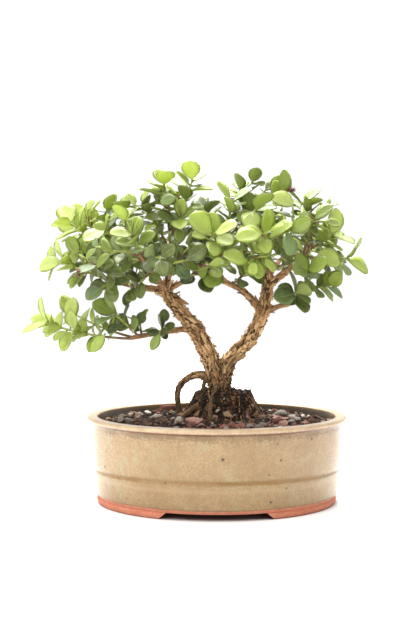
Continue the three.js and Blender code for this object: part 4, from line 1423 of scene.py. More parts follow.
@dataclass
class StonewarePot:
    """An oval pot with a rounded lip, a groove round its wall, two curved feet and two drainage holes."""

    half_width: float = 75.0
    half_depth: float = 57.5
    sides: int = 160
    foot_inner: float = 19.0
    foot_cut: float = 31.0
    foot_slope: float = 4.0
    drain_radius: float = 6.0
    drain_x: float = 30.0
    drain_sides: int = 40
    wobble: float = 0.14
    throwing: float = 0.05
    seed: int = 5
    crease: float = 34.0
    foot: Profile = ((7.0, 0), (6.3, 0.3), (5.9, 1.0), (5.6, 2.6), (7.3, 5.0))
    wall: Profile = (
        (13.0, 3.4), (7.6, 3.4), (6.6, 3.6), (5.7, 4.3), (5.3, 5.1), (5.15, 5.5), (4.85, 5.85),
        (4.65, 6.5), (4.35, 8.6), (4.0, 11), (3.75, 13.6), (3.65, 14.6), (3.6, 15.6), (3.5, 16.8),
        (3.3, 18.6), (3.3, 19.5), (3.6, 20.3), (3.65, 20.9), (3.45, 21.5), (2.95, 22.2),
        (2.7, 23), (2.5, 27), (2.25, 34), (2.1, 41), (2.1, 45.2), (2.05, 46.0), (1.6, 46.6),
        (0.8, 46.8), (0.3, 47.1), (0.06, 47.7), (0, 48.5), (0.12, 49.25), (0.5, 49.75), (1.2, 50),
        (3.2, 50), (5.2, 50), (5.9, 49.75), (6.3, 49.25), (6.45, 48.6), (6.7, 47.5), (7.4, 45),
        (8.3, 36), (9.3, 25), (10.5, 12), (11.2, 9.6), (12.4, 8.4), (14.5, 8.02),
    )

    def ring(self, inset: float, height: float, shift: float = 0) -> Array:
        """Points round the pot at an inset from the lip, moved on by a share of their spacing.

        Args:
            inset: The inset.
            height: The height of the ring.
            shift: The share.

        Returns:
            The points, anticlockwise.
        """
        turn = 2 * np.pi * (np.arange(self.sides) + shift) / self.sides
        across, deep = (self.half_width - inset) * np.cos(turn), (self.half_depth - inset) * np.sin(turn)
        return np.stack([across, deep, np.full(self.sides, float(height))], axis=1)

    def inside(self, height: float) -> float:
        """The inset of the inner wall at a height."""
        inner = np.array(self.wall[-8:][::-1])
        return float(np.interp(height, inner[:, 1], inner[:, 0]))

    def inset_of(self, points: Array) -> Array:
        """How far inside the lip's oval each point lies, found by halving.

        Args:
            points: The points.

        Returns:
            Their insets.
        """
        low, high = np.full(len(points), -2.0), np.full(len(points), self.half_depth - 0.5)
        for _ in range(26):
            middle = (low + high) / 2
            reach = np.hypot(points[:, 0] / (self.half_width - middle), points[:, 1] / (self.half_depth - middle))
            low, high = np.where(reach < 1, middle, low), np.where(reach < 1, high, middle)
        return (low + high) / 2

    def build(self) -> Piece:
        """Lofts the wall, joins the feet and cuts the drains.

        Returns:
            The pot.
        """
        body = new_object("pot_body", *lofted([self.ring(*row) for row in self.wall]))
        foot = new_object("foot", *lofted([self.ring(*row, 0.5) for row in self.foot]))
        hollows = ((self.foot_inner - 0.4, -1), (self.foot_inner, 0.5), (self.foot_inner, 5.3))
        hollow = new_object("foot_hollow", *lofted([self.ring(*row) for row in hollows]))
        slope = self.foot_slope
        half = ((-0.5, 0.9), (0, 0.25), (0.5, 0), (3.9, -slope), (5.3, -slope - 1.6))
        profile = [(self.foot_cut + x, z) for z, x in half]
        outline = [*profile, *[(-x, z) for x, z in profile[::-1]]]
        rings = [np.array([(x, y, z) for x, z in outline]) for y in (-self.half_depth, self.half_depth)]
        gate = new_object("foot_gate", *lofted(rings))
        self._joined(foot, (hollow, "DIFFERENCE"), (gate, "DIFFERENCE"))
        drains = [self._drain(side) for side in (-1, 1)]
        self._joined(body, (foot, "UNION"), *[(drain, "DIFFERENCE") for drain in drains])
        for tool in (foot, hollow, gate, *drains):
            bpy.data.meshes.remove(tool.data)
        points, grain = vertices_of(body), Grain(self.seed)
        inset = self.inset_of(points)
        slow = grain.swell(points / (34, 34, 15)) * self.wobble
        thrown = self.throwing * np.sin(points[:, 2] * 2.1 + 1.5 * grain.swell(points / 40))
        share = eased(inset, 12.0, 8.0) * eased(points[:, 2], 2.0, 8.0) * eased(points[:, 2], 49.9, 48.0)
        move_vertices(body, points + unit(points * (1, 1, 0)) * ((slow + thrown) * share)[:, None])
        write_attributes(body, inset=inset)
        return body

    def _drain(self, side: int) -> Piece:
        """A round plug with flared ends, the shape of a drainage hole.

        Args:
            side: -1 for the left one, 1 for the right one.

        Returns:
            The plug.
        """
        turn = 2 * np.pi * np.arange(self.drain_sides)[:, None] / self.drain_sides
        rings = []
        for height, grow in ((-1, 1.0), (3.3, 1.0), (4.1, 0.1), (7.0, 0.0), (8.0, 0.6), (10, 2.4)):
            ring = (self.drain_radius + grow) * np.hstack([np.cos(turn), np.sin(turn), 0 * turn])
            rings.append(ring + (side * self.drain_x, 0, height))
        return new_object("drain", *lofted(rings))

    @staticmethod
    def _joined(piece: Piece, *tools: tuple[Piece, str]) -> None:
        """Joins each tool to the piece or cuts it away.

        Args:
            piece: The piece.
            tools: Each tool and the name of its operation.
        """
        for tool, operation in tools:
            work = bmesh.new()
            work.from_mesh(tool.data)
            bmesh.ops.recalc_face_normals(work, faces=work.faces)
            work.to_mesh(tool.data)
            work.free()
            step = piece.modifiers.new(operation, "BOOLEAN")
            step.object, step.operation, step.solver = tool, operation, "EXACT"
        bake_modifiers(piece)

    def dress(self, body: Piece) -> None:
        """Gives the pot its glaze."""
        shade(body, self.crease)
        dress(body, "stoneware", GlazeFinish().make(), "pot")


@dataclass
class DrainScreens:
    """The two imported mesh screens, which keep their shape."""

    nodes: tuple[str, str] = ("drain_screen_left", "drain_screen_right")

    def dress(self) -> None:
        """Gives each screen its plastic."""
        finish = ScreenFinish().make()
        for name in self.nodes:
            materials = frame["nodes"][name].data.materials
            materials.clear()
            materials.append(finish)
            LOG.info("%s: packed node with a plastic finish", name)


# Soil


@dataclass
class SoilBed:
    """The domed bed of soil with its root mound, and the loose grit that covers it."""

    pot: StonewarePot
    edge: float = 44.6
    crown: float = 4.0
    mound_x: float = 4.0
    mound_y: float = 8.0
    mound_half_width: float = 21.0
    mound_half_depth: float = 17.0
    mound_height: float = 14.0
    gap: float = 0.3
    rings: int = 46
    seed: int = 11
    pebble_count: int = 22
    pebble_clear: float = 12.0
    pebble_size: tuple[float, float] = (1.8, 3.3)
    pebble_seed: int = 41
    pebble_kinds: int = 5
    pebble_shapes: int = 70
    slab: Point = (-31.0, 36.5, 47.6)
    slab_size: Point = (6.2, 3.2, 3.1)
    slab_crease: float = 32.0

    def height(self, x: Array | float, y: Array | float) -> Array:
        """The height of the bed as the solid has it.

        Args:
            x: The places across.
            y: The places in depth.

        Returns:
            The heights.
        """
        dome = np.maximum(0, 1 - (x / self.pot.half_width) ** 2 - (y / self.pot.half_depth) ** 2)
        rough = 0.5 * np.sin(0.41 * x + 0.8) * np.sin(0.37 * y) + 0.4 * np.sin(0.9 * x - 0.7 * y)
        return self.edge + self.crown * dome + self.mound_height * self.mound(x, y) + rough

    def mound(self, x: Array | float, y: Array | float) -> Array:
        """How much of the root mound there is at a place, from 0 to 1."""
        away = np.hypot((x - self.mound_x) / self.mound_half_width, (y - self.mound_y) / self.mound_half_depth)
        return eased(1.2 - away, 0, 0.55)

    def surface(self, points: Array) -> Array:
        """The height of the finished bed, with its crumbs and hollows, at each row's x and y.

        Args:
            points: The rows.

        Returns:
            The heights.
        """
        x, y = points[:, 0], points[:, 1]
        flat, grain, share = points * (1, 1, 0), Grain(self.seed), self.mound(x, y)
        crumbs, level = grain.plates(flat / 2.6)
        soft = 0.7 * grain.swell(flat / 7.5) + 0.35 * grain.swell(flat / 2.3)
        clods = (0.6 + 1.3 * share) * eased(crumbs, 0, 0.4) * (level - 0.35)
        return self.height(x, y) + soft * (0.6 + 0.9 * share) + clods - 0.3

    def build(self) -> Piece:
        """Lofts the bed from the wall of the pot up over the mound.

        Returns:
            The bed.
        """
        levels = (9.3, 12.0, 25.0, 38.0, self.edge - 1)
        *rings, rim = [self.pot.ring(self.pot.inside(level) + self.gap, level) for level in levels]
        middle = np.array([self.mound_x, self.mound_y, 0])
        for share in np.linspace(1, 0.02, self.rings):
            ring = middle + share * (rim - middle)
            ring[:, 2] = self.surface(ring)
            rings.append(ring)
        bed = new_object("soil_bed", *lofted(rings))
        points, top = vertices_of(bed), normals_of(bed)[:, 2] > 0.15
        share, front = self.mound(points[:, 0], points[:, 1]), eased(-points[:, 1] + 0.4 * points[:, 0], 12, 40)
        left = eased(-points[:, 0], 8, 40)
        rust = 0.05 + 0.95 * share * (1 - 0.6 * eased(points[:, 2], 52, 60))
        write_attributes(
            bed, cover=top * 1.0, cover_mound=top * share, cover_flat=top * (1 - share), mound=share,
            cover_pale=top * (1 - share) * (1 - 0.5 * left), cover_rust=top * rust,
            cover_front=top * (1 - share) * (0.25 - 0.18 * left + 0.75 * front),
            run=np.tile((1.0, 0.0, 0.0), (len(points), 1)),
        )
        return bed

    def pebbles(self) -> dict[str, Array]:
        """The places of the solid's pebbles, with their turn and size.

        Returns:
            Their columns by name.
        """
        draw = Draw(self.pebble_seed)
        rows: dict[str, list] = {"point": [], "run": [], "spread": []}
        for _ in range(self.pebble_count):
            turn, spread = 2 * math.pi * draw(), 0.45 + 0.55 * math.sqrt(draw())
            x = spread * (self.pot.half_width - self.pebble_clear) * math.cos(turn)
            y = spread * (self.pot.half_depth - self.pebble_clear) * math.sin(turn)
            size = lerp(*self.pebble_size, draw())
            flat, low = 0.7 + 0.3 * draw(), 0.6 + 0.2 * draw()
            yaw = 2 * math.pi * draw()
            rows["point"].append((x, y, float(self.height(x, y)) + 0.35 * size))
            rows["run"].append((math.cos(yaw), math.sin(yaw), 0.0))
            rows["spread"].append((size, size * flat, size * low))
        return {key: np.array(value) for key, value in rows.items()}

    def dress(self, bed: Piece) -> None:
        """Gives the bed its fine soil, strews it and sets the larger stones where the solid has them.

        Args:
            bed: The bed.
        """
        shade(bed)
        source = bed.data.copy()
        dress(bed, "potting_grit", BedFinish().make(), "soil")
        for layer in GRIT_LAYERS:
            layer.strew(source)
        bpy.data.meshes.remove(source)
        rows, finish = self.pebbles(), PEBBLE_FINISH.make()
        piece = new_object("large_pebbles", rows["point"], [])
        count = len(rows["point"])
        write_attributes(
            piece, run=rows["run"], face=np.tile((0.0, 0.0, 1.0), (count, 1)), spread=rows["spread"] * MM,
            tone=np.random.default_rng(3).random(count), kind=np.arange(count) % self.pebble_kinds,
        )
        tray = PartTray("pebble_shapes")
        for kind in range(self.pebble_kinds):
            tray.add(*worn_stone(self.pebble_shapes + kind, 3, 0.2))
        grow(piece, PLANTING.setting, "potting_grit", finish, {"Parts": tray})
        tray.clear()
        stone, faces = worn_stone(8, 3, 0.22)
        turn = np.array([(0.94, 0.3, 0.16), (-0.3, 0.95, 0), (-0.15, -0.05, 0.99)])
        slab = new_object("lava_slab", stone * self.slab_size @ turn + self.slab, faces)
        write_attributes(slab, tone=np.full(len(stone), 0.25))
        shade(slab, self.slab_crease)
        dress(slab, "potting_grit", LAVA_FINISH.make())


def worn_stone(seed: int, level: int, rough: float) -> Skin:
    """A stone about two units across with dents and broken flats.

    Args:
        seed: What its dents are drawn from.
        level: How finely it is divided.
        rough: How deep its dents are.

    Returns:
        Its vertices and faces.
    """
    work = bmesh.new()
    bmesh.ops.create_icosphere(work, subdivisions=level, radius=1.0)
    points, faces = as_arrays(work)
    grain, source = Grain(seed), np.random.default_rng(seed)
    dent = grain.swell(points * 1.1 + 7.3 * seed) + 0.5 * grain.swell(points * 2.6)
    points = points * (1 + rough * dent)[:, None]
    for flat, reach in zip(unit(source.normal(size=(9, 3))), source.uniform(0.62, 0.92, 9), strict=True):
        points -= np.maximum(points @ flat - reach, 0)[:, None] * flat
    return points, faces


def broken_chip(seed: int, corners: int, shape: Point) -> Skin:
    """An angular chip, the hull of a few corners.

    Args:
        seed: What its corners are drawn from.
        corners: How many corners it has.
        shape: Its half sizes.

    Returns:
        Its vertices and faces.
    """
    source = np.random.default_rng(seed)
    work = bmesh.new()
    for point in unit(source.normal(size=(corners, 3))) * source.uniform(0.8, 1.0, (corners, 1)) * shape:
        work.verts.new(point)
    bmesh.ops.convex_hull(work, input=work.verts)
    for vertex in [vertex for vertex in work.verts if not vertex.link_faces]:
        work.verts.remove(vertex)
    bmesh.ops.recalc_face_normals(work, faces=work.faces)
    work.verts.index_update()
    return as_arrays(work)


def as_arrays(work: bmesh.types.BMesh) -> Skin:
    """The vertices and faces of a mesh being worked on, which is freed.

    Args:
        work: The mesh.

    Returns:
        Its vertices and faces.
    """
    points = np.array([vertex.co[:] for vertex in work.verts])
    faces = [tuple(vertex.index for vertex in face.verts) for face in work.faces]
    work.free()
    return points, faces


@dataclass(frozen=True)
class GritLayer:
    """One kind of loose piece in the top of the soil."""

    name: str
    finish: StoneFinish
    cover: str
    spacing: float
    density: float
    size: tuple[float, float]
    sink: float
    seed: int
    corners: int = 14
    shape: Point = (1.0, 0.8, 0.6)
    tilt: float = 0.6
    kinds: int = 5

    def strew(self, source: bpy.types.Mesh) -> None:
        """Strews the layer over a copy of the bed's mesh.

        Args:
            source: The bed's mesh.
        """
        piece = linked(self.name, source.copy())
        tray = PartTray(self.name + "_shapes")
        for kind in range(self.kinds):
            tray.add(*broken_chip(self.seed * 10 + kind, self.corners, self.shape))
        values = {
            "Parts": tray, "Cover": self.cover, "Spacing": self.spacing * MM, "Density": self.density / MM**2,
            "Smallest": self.size[0] * MM, "Largest": self.size[1] * MM, "Sink": self.sink, "Tilt": self.tilt,
            "Seed": self.seed, "Smooth": False,
        }
        grow(piece, PLANTING.scatter, "potting_grit", self.finish.make(), values)
        tray.clear()


PEBBLE_FINISH = StoneFinish(
    "grey_pebble", ((0.0, "756b5e"), (0.4, "a0968a"), (0.75, "cbc3b6"), (1.0, "f2ece0")), "4b433a", 900, 0.9, 0.2
)
CRUMB_FINISH = StoneFinish(
    "dark_crumb", ((0.0, "160e09"), (0.4, "2c1d13"), (0.75, "4a3424"), (1.0, "7d5c42")), "0e0906"
)
CHIP_FINISH = StoneFinish("bark_chip", ((0.0, "3a251a"), (0.45, "735038"), (0.8, "a67e5c"), (1.0, "d6b490")), "20120b")
LAVA_FINISH = StoneFinish("lava_chip", ((0.0, "74443a"), (0.5, "b07462"), (1.0, "e2b09c")), "46231a", 1300, 0.95, 0.4)
RUST_FINISH = StoneFinish("orange_grit", ((0.0, "94491f"), (0.5, "cf7238"), (1.0, "eba873")), "5f2a16", 1500, 0.9, 0.2)
GRIT_LAYERS = (
    GritLayer("dark_crumbs", CRUMB_FINISH, "cover", 1.4, 0.9, (0.8, 2.6), 0.08, 21, 12),
    GritLayer("mound_clods", CRUMB_FINISH, "cover_mound", 1.9, 0.3, (1.1, 2.7), 0.1, 26),
    GritLayer("bark_chips", CHIP_FINISH, "cover_flat", 2.8, 0.12, (1.4, 5.4), 0.03, 22, 11, (1.0, 0.5, 0.24), 0.4),
    GritLayer("lava_chips", LAVA_FINISH, "cover_front", 3.6, 0.075, (1.5, 5.4), 0.06, 23, 15),
    GritLayer("small_pebbles", PEBBLE_FINISH, "cover_pale", 5.0, 0.03, (0.9, 3.4), 0.05, 24, 18, (1.0, 0.75, 0.62)),
    GritLayer("orange_grit", RUST_FINISH, "cover_rust", 1.6, 0.28, (0.45, 1.5), 0.05, 25, 12),
)


# Wood


@dataclass
class TreeWood:
    """The trunks, boughs and roots as one grown body with flaky bark."""

    voxel: float = 0.42
    sides: int = 18
    step: float = 1.0
    sample: float = 0.7
    block: int = 8000
    seed: int = 17
    flake_kinds: int = 5
    flake_seed: int = 500

    @staticmethod
    def chains() -> list[Array]:
        """Every limb's chain."""
        return [chain for group in (TRUNKS, BOUGHS, ROOTS, KNOTS) for chain in group.values()]

    def build(self) -> Piece:
        """Joins the limbs, grows them together and raises the bark.

        Returns:
            The wood.
        """
        points, faces, count, grain = [], [], 0, Grain(self.seed)
        for index, chain in enumerate(self.chains()):
            rows = smooth_chain(chain, self.step)
            rows[:, 3] = np.maximum(rows[:, 3], 0.25) * (1 + 0.07 * grain.swell(rows[:, :3] / 5.0 + index))
            made, skin = tube(rows, self.sides)
            points.append(made)
            faces += [tuple(corner + count for corner in face) for face in skin]
            count += len(made)
        wood = new_object("tree_wood", np.vstack(points), faces)
        remesh = wood.modifiers.new("grown", "REMESH")
        remesh.mode, remesh.voxel_size, remesh.use_smooth_shade = "VOXEL", self.voxel * MM, True
        relax = wood.modifiers.new("relaxed", "SMOOTH")
        relax.factor, relax.iterations = 0.5, 2
        bake_modifiers(wood)
        keep_largest(wood)
        self._raise_bark(wood, grain)
        return wood

    def _samples(self) -> dict[str, Array]:
        """Points along every limb, with the limb's radius and directions there.

        Returns:
            The points' columns by name.
        """
        rows: dict[str, list[Array]] = {key: [] for key in ("at", "radius", "along", "normal", "across", "run")}
        for index, chain in enumerate(self.chains()):
            limb = smooth_chain(chain, self.sample)
            gone = np.concatenate([[0], np.cumsum(np.linalg.norm(np.diff(limb[:, :3], axis=0), axis=1))])
            found = (limb[:, :3], limb[:, 3], *limb_frames(limb[:, :3]), gone + 41.7 * index)
            for column, value in zip(rows.values(), found, strict=True):
                column.append(value)
        return {key: np.concatenate(value) for key, value in rows.items()}

    def _raise_bark(self, wood: Piece, grain: Grain) -> None:
        """Raises plates and strips of bark that run along each limb, and stores what the finish reads.

        Args:
            wood: The grown body.
            grain: The unevenness that the plates are read from.
        """
        points, normals = vertices_of(wood), normals_of(wood)
        samples = self._samples()
        nearest = np.empty(len(points), int)
        for start in range(0, len(points), self.block):
            block = points[start : start + self.block].astype(np.float32)
            away = np.linalg.norm(block[:, None] - samples["at"].astype(np.float32), axis=2)
            nearest[start : start + self.block] = np.argmin(away - samples["radius"], axis=1)
        here = {key: value[nearest] for key, value in samples.items()}
        offset, girth = points - here["at"], here["radius"]
        forward = (offset * here["along"]).sum(1)
        aside = unit(offset - forward[:, None] * here["along"])
        sides = [girth * (aside * here[key]).sum(1) for key in ("normal", "across")]
        limb = np.stack([*sides, here["run"] + forward], axis=1)
        warp = 0.45 * np.stack([grain.swell(limb / 2.6 + shift) for shift in (3.1, 17.7, 29.3)], axis=1)
        strips, level = grain.plates(limb / (1.55, 1.55, 5.8) + warp)
        shreds, small = grain.plates(limb / (0.85, 0.85, 3.2) + 0.7 * warp + 5.5)
        furrow = np.abs(grain.swell(limb / (2.0, 2.0, 13.0) + 9.1))
        relief = 0.5 * eased(strips, 0.02, 0.3) * (0.35 + 0.65 * level)
        relief += 0.28 * eased(shreds, 0.02, 0.35) * (0.4 + 0.6 * small) + 0.22 * eased(furrow, 0.02, 0.3)
        root = eased(points[:, 2], 76, 62)
        depth = np.interp(girth, (0.8, 1.3, 2.0, 3.2, 4.5, 7.0), (0.08, 0.2, 0.42, 0.85, 1.2, 1.3))
        depth *= 1 + 0.5 * root * eased(girth, 3.2, 2.4)
        bulge = (0.09 + 0.16 * root) * girth * grain.swell(points / (5.5 - 2.5 * root)[:, None] + 3.3)
        raised = depth * (relief - 0.56) * 1.35 + bulge
        move_vertices(wood, points + normals * raised[:, None])
        write_attributes(
            wood, cavity=np.clip(1 - relief * 1.25, 0, 1), girth=girth, limb=limb, wet=eased(points[:, 2], 88, 60),
            tone=np.full(len(points), 0.335), run=here["along"],
            flaky=eased(girth, 1.3, 3.2) * eased(points[:, 2], 62, 76),
        )

    def _flake(self, kind: int) -> Skin:
        """A thin strip about a unit long that lies along a limb and lifts at one end.

        Args:
            kind: Which of the shapes.

        Returns:
            Its vertices and faces.
        """
        source = np.random.default_rng(self.flake_seed + kind)
        rows = []
        for share in np.linspace(-0.5, 0.5, 5):
            half = (0.16 - 0.22 * share**2 * (1 + kind % 2)) * source.uniform(0.7, 1.25)
            lift = 0.03 + 0.32 * abs(share) ** 1.5 * (1 + 0.25 * kind) * (1 if share > 0 else 0.25)
            sway = 0.04 * source.normal()
            rows += [(share, sway + side * max(half, 0.04), lift + rise) for side, rise in ((-1, 0), (0, 0.07), (1, 0))]
        faces: Faces = []
        for i, j in itertools.product(range(4), range(2)):
            a = i * 3 + j
            faces += [(a, a + 3, a + 4, a + 1), (a + 15, a + 16, a + 19, a + 18)]
        for a in range(0, 12, 3):
            faces += [(a, a + 15, a + 18, a + 3), (a + 2, a + 5, a + 20, a + 17)]
        for j in range(2):
            faces += [(j, j + 1, j + 16, j + 15), (12 + j, 27 + j, 28 + j, 13 + j)]
        return np.vstack([np.array(rows), np.array(rows) - (0, 0, 0.055)]), faces

    def dress(self, wood: Piece) -> None:
        """Gives the wood its bark, and strews curled flakes and splinters of it along the limbs.

        Args:
            wood: The wood.
        """
        finish = BarkFinish().make()
        piece = linked("bark_flakes", wood.data.copy())
        tray = PartTray("flake_shapes")
        for kind in range(self.flake_kinds):
            tray.add(*self._flake(kind))
        values = {
            "Parts": tray, "Cover": "flaky", "Spacing": 0.95 * MM, "Density": 0.7 / MM**2, "Smallest": 1.8 * MM,
            "Largest": 6.2 * MM, "Sink": 0.03, "Tilt": 0.13, "Follow": 0.93, "Seed": 31,
        }
        grow(piece, PLANTING.scatter, "bark", finish, values)
        tray.clear()
        dress(wood, "bark", finish, "trunk")


@dataclass
class RootHairs:
    """Fine roots that creep over the mound and lie on the soil."""

    bed: SoilBed
    count: int = 34
    seed: int = 77
    stride: float = 1.25
    wander: float = 0.28

    def build(self, finish: Material) -> None:
        """Draws each root over the surface as a wandering line and rounds it.

        Args:
            finish: The bark that the roots share.
        """
        source = np.random.default_rng(self.seed)
        rows: list[tuple[float, ...]] = []
        edges: Faces = []
        for root in range(self.count):
            turn = 2 * math.pi * (root + source.random()) / self.count
            steps, radius = int(source.integers(7, 18)), source.uniform(0.12, 0.34) * (1.5 if root % 7 == 0 else 1)
            start, wet = source.uniform(9, 18), source.uniform(0.4, 1.0)
            at = np.array([self.bed.mound_x + start * math.cos(turn), self.bed.mound_y + start * math.sin(turn)])
            heading = turn + source.normal() * 0.3
            for step in range(steps):
                share = step / (steps - 1)
                z = float(self.bed.surface(np.array([[*at, 0.0]]))[0])
                lift = radius * (0.7 - 1.6 * share**3) + 1.1 * max(0.0, math.sin(5 * share + root)) * (root % 3 == 0)
                if step:
                    edges.append((len(rows) - 1, len(rows)))
                rows.append((*at, z + lift, radius * (1 - 0.62 * share), 1.2 * step + 31 * root, wet))
                heading += source.normal() * self.wander
                at = at + self.stride * np.array([math.cos(heading), math.sin(heading)])
        table = np.array(rows)
        piece = new_object("root_hairs", table[:, :3], [], edges)
        level = np.ones(len(rows))
        write_attributes(
            piece, thick=table[:, 3] * MM, limb=table[:, 4:5] * (0, 0, 1), wet=table[:, 5], girth=2.4 * level,
            cavity=0.35 * level, tone=0.335 * level,
        )
        grow(piece, PLANTING.tubes, "bark", finish, {"Sides": 6})


# Leaves


class LeafOutline(Enum):
    """Half outlines of a leaf as shares of its length and width, as the solids have them."""

    LARGE = ((0.22, 0.32), (0.52, 0.5), (0.83, 0.35))
    SMALL = ((0.3, 0.43), (0.72, 0.45))


@dataclass(frozen=True)
class LeafRule:
    """The numbers that leaves grow by."""

    small: float = 13
    thickness: float = 0.7
    fold: float = 0.22
    width_share: float = 0.78
    gap: float = 0.35
    tries: int = 24
    stem: tuple[float, float] = (0.8, 0.6)
    stalk_half: float = 0.6
    pair_start: float = 0.34
    pair_end: float = 1.4
    open_side: float = 64
    open_tip: float = 46
    own_skip: float = 3
    own_reach: float = 12
    swing: float = 7
    shrunk: float = 0.75
    sight: float = 32
    heart: Point = (-8, 4, 112)
    light_outward: float = 0.75
    light_up: float = 0.55
    light_front: float = 0.4
    seed: int = 977


RULE = LeafRule()


@dataclass
class Shoot:
    """A stem that curves in an upright plane from its bough to its tip."""

    name: str
    bough: str
    start: Array
    tip: Array
    rise: float
    pairs: int
    roll: float
    size: float
    tone: float
    thick: tuple[float, float] = (0.78, 0.5)

    def __post_init__(self) -> None:
        """Works out the curve."""
        self.bend = (self.start + self.tip) / 2 + np.array([0, 0, self.rise])
        self.level = unit(np.cross((0, 0, 1), self.tip - self.start))
        legs = (self.bend - self.start, self.tip - self.bend, self.tip - self.start)
        self.length = 0.5 * sum(float(np.linalg.norm(leg)) for leg in legs)
        end = 1 - RULE.pair_end / self.length
        reach = (end - RULE.pair_start) / max(1, self.pairs - 1)
        self.shares = [RULE.pair_start + reach * pair for pair in range(self.pairs)] if self.pairs > 1 else [end]

    def point(self, share: float) -> Array:
        """The place at a share of the stem."""
        back = 1 - share
        return self.start * back**2 + self.bend * (2 * share * back) + self.tip * share**2

    def along(self, share: float) -> Array:
        """The stem's direction at a share."""
        return unit((self.bend - self.start) * (1 - share) + (self.tip - self.bend) * share)

    def aside(self, share: float, degrees: float) -> Array:
        """A direction square to the stem, turned from level."""
        turn = math.radians(degrees)
        return self.level * math.cos(turn) + np.cross(self.along(share), self.level) * math.sin(turn)

    def lines(self) -> list[tuple[Array, Array]]:
        """The stem as three straight lines."""
        return list(itertools.pairwise([self.point(step / 3) for step in range(4)]))


@dataclass
class Leaf:
    """One leaf: where it grows from, its own directions, its size and its tone."""

    base: Array
    axes: Array
    length: float
    width: float
    outline: LeafOutline
    tone: float = 0.5
    bough: str = ""

    def __post_init__(self) -> None:
        """Works out the walls of its slab and the lines that neighbours are tested against."""
        side = [(x * self.length, y * self.width) for x, y in self.outline.value]
        stalk = RULE.stalk_half
        flat = np.array([(0, -stalk), (0, stalk), *side, (self.length, 0), *[(x, -y) for x, y in side[::-1]]])
        along, across, face = self.axes
        lift = np.abs(flat[:, 1:]) * RULE.fold
        corners = self.base + flat[:, :1] * along + flat[:, 1:] * across + lift * face
        edge = np.roll(flat, -1, axis=0) - flat
        walls = np.hstack([flat, edge / np.linalg.norm(edge, axis=1, keepdims=True)])
        self.walls = np.vstack([walls, np.repeat(walls[:1], 9 - len(walls), axis=0)])
        rim, tip = corners[2:], corners[2 + len(side)]
        lines = [*itertools.pairwise(rim), (self.base + 0.3 * (tip - self.base), tip), (rim[0], rim[-1])]
        self.lines = np.array(lines + [lines[-1]] * (8 - len(lines)))
        self.above = RULE.thickness / 2 + 0.5 * self.width * RULE.fold


class Clearance:
    """Keeps every leaf clear of the other leaves, of stems and of wood."""

    def __init__(self, shoots: list[Shoot]) -> None:
        """Takes the lines of all stems and of the wood.

        Args:
            shoots: The shoots.
        """
        self.rows: list[tuple[Array, Array, float, str]] = []
        self.leaves: list[Leaf] = []
        for shoot in shoots:
            self.add_stem(shoot)
        for chain in [*TRUNKS.values(), *BOUGHS.values()]:
            for first, second in itertools.pairwise(chain):
                self.rows.append((first[:3], second[:3], max(first[3], second[3]), "wood"))

    def add_stem(self, shoot: Shoot) -> None:
        """Adds a shoot's stem."""
        self.rows += [(start, end, RULE.stem[0], shoot.name) for start, end in shoot.lines()]

    @staticmethod
    def strikes(leaves: list[Leaf], starts: Array, ends: Array, margins: Array) -> Array:
        """Which lines come within a margin of which leaves.

        Args:
            leaves: The leaves.
            starts: Where the lines start.
            ends: Where they end.
            margins: The margin of each line.

        Returns:
            True or false by leaf and line.
        """
        base = np.array([leaf.base for leaf in leaves])[:, None]
        axes, walls = np.array([leaf.axes for leaf in leaves]), np.array([leaf.walls for leaf in leaves])
        above = np.array([leaf.above for leaf in leaves])[:, None] + margins
        below = -RULE.thickness / 2 - margins
        local = [np.einsum("mnj,mij->mni", points - base, axes) for points in (starts, ends)]
        near = np.zeros(local[0].shape[:2])
        far = np.ones_like(near)

        def clip(first: Array, second: Array) -> None:
            """Shortens each line to its part on the inner side of a wall.

            Args:
                first: How far each start is outside the wall.
                second: How far each end is.
            """
            out_first, out_second = first > 0, second > 0
            place = first / np.where(first == second, 1.0, first - second)
            np.copyto(near, np.maximum(near, place), where=out_first & ~out_second)
            np.copyto(far, np.minimum(far, place), where=~out_first & out_second)
            np.copyto(far, -1.0, where=out_first & out_second)

        clip(below - local[0][..., 2], below - local[1][..., 2])
        clip(local[0][..., 2] - above, local[1][..., 2] - above)
        for wall in np.moveaxis(walls, 1, 0):
            x0, y0, dx, dy = (wall[:, i : i + 1] for i in range(4))
            reach = [(end[..., 0] - x0) * dy - (end[..., 1] - y0) * dx for end in local]
            clip(-reach[0] - margins, -reach[1] - margins)
        return near <= far

    def is_clear(self, leaf: Leaf, owner: str, own_stem: Array) -> bool:
        """Whether a leaf has room.

        Args:
            leaf: The leaf.
            owner: The shoot that it grows on.
            own_stem: The stretches of its own stem above and below it.

        Returns:
            True if nothing comes too near.
        """
        if self.strikes([leaf], own_stem[:, 0], own_stem[:, 1], np.full(2, RULE.stem[1])).any():
            return False
        reach = leaf.length + 2
        near = [other for other in self.leaves if np.linalg.norm(other.base - leaf.base) <= other.length + reach]
        if near:
            lines = np.concatenate([other.lines for other in near])
            if self.strikes([leaf], lines[:, 0], lines[:, 1], np.full(len(lines), RULE.gap)).any():
                return False
            if self.strikes(near, leaf.lines[:, 0], leaf.lines[:, 1], np.full(8, RULE.gap)).any():
                return False
        starts, ends, radii = zip(*[row[:3] for row in self.rows if row[3] != owner], strict=True)
        return not self.strikes([leaf], np.array(starts), np.array(ends), RULE.gap + np.array(radii)).any()

    def line_is_clear(self, start: Array, end: Array, margin: float) -> bool:
        """Whether a straight line keeps clear of every leaf."""
        near = [leaf for leaf in self.leaves if np.linalg.norm(leaf.base - start) < RULE.sight]
        return not near or not self.strikes(near, start[None], end[None], np.full(1, margin)).any()


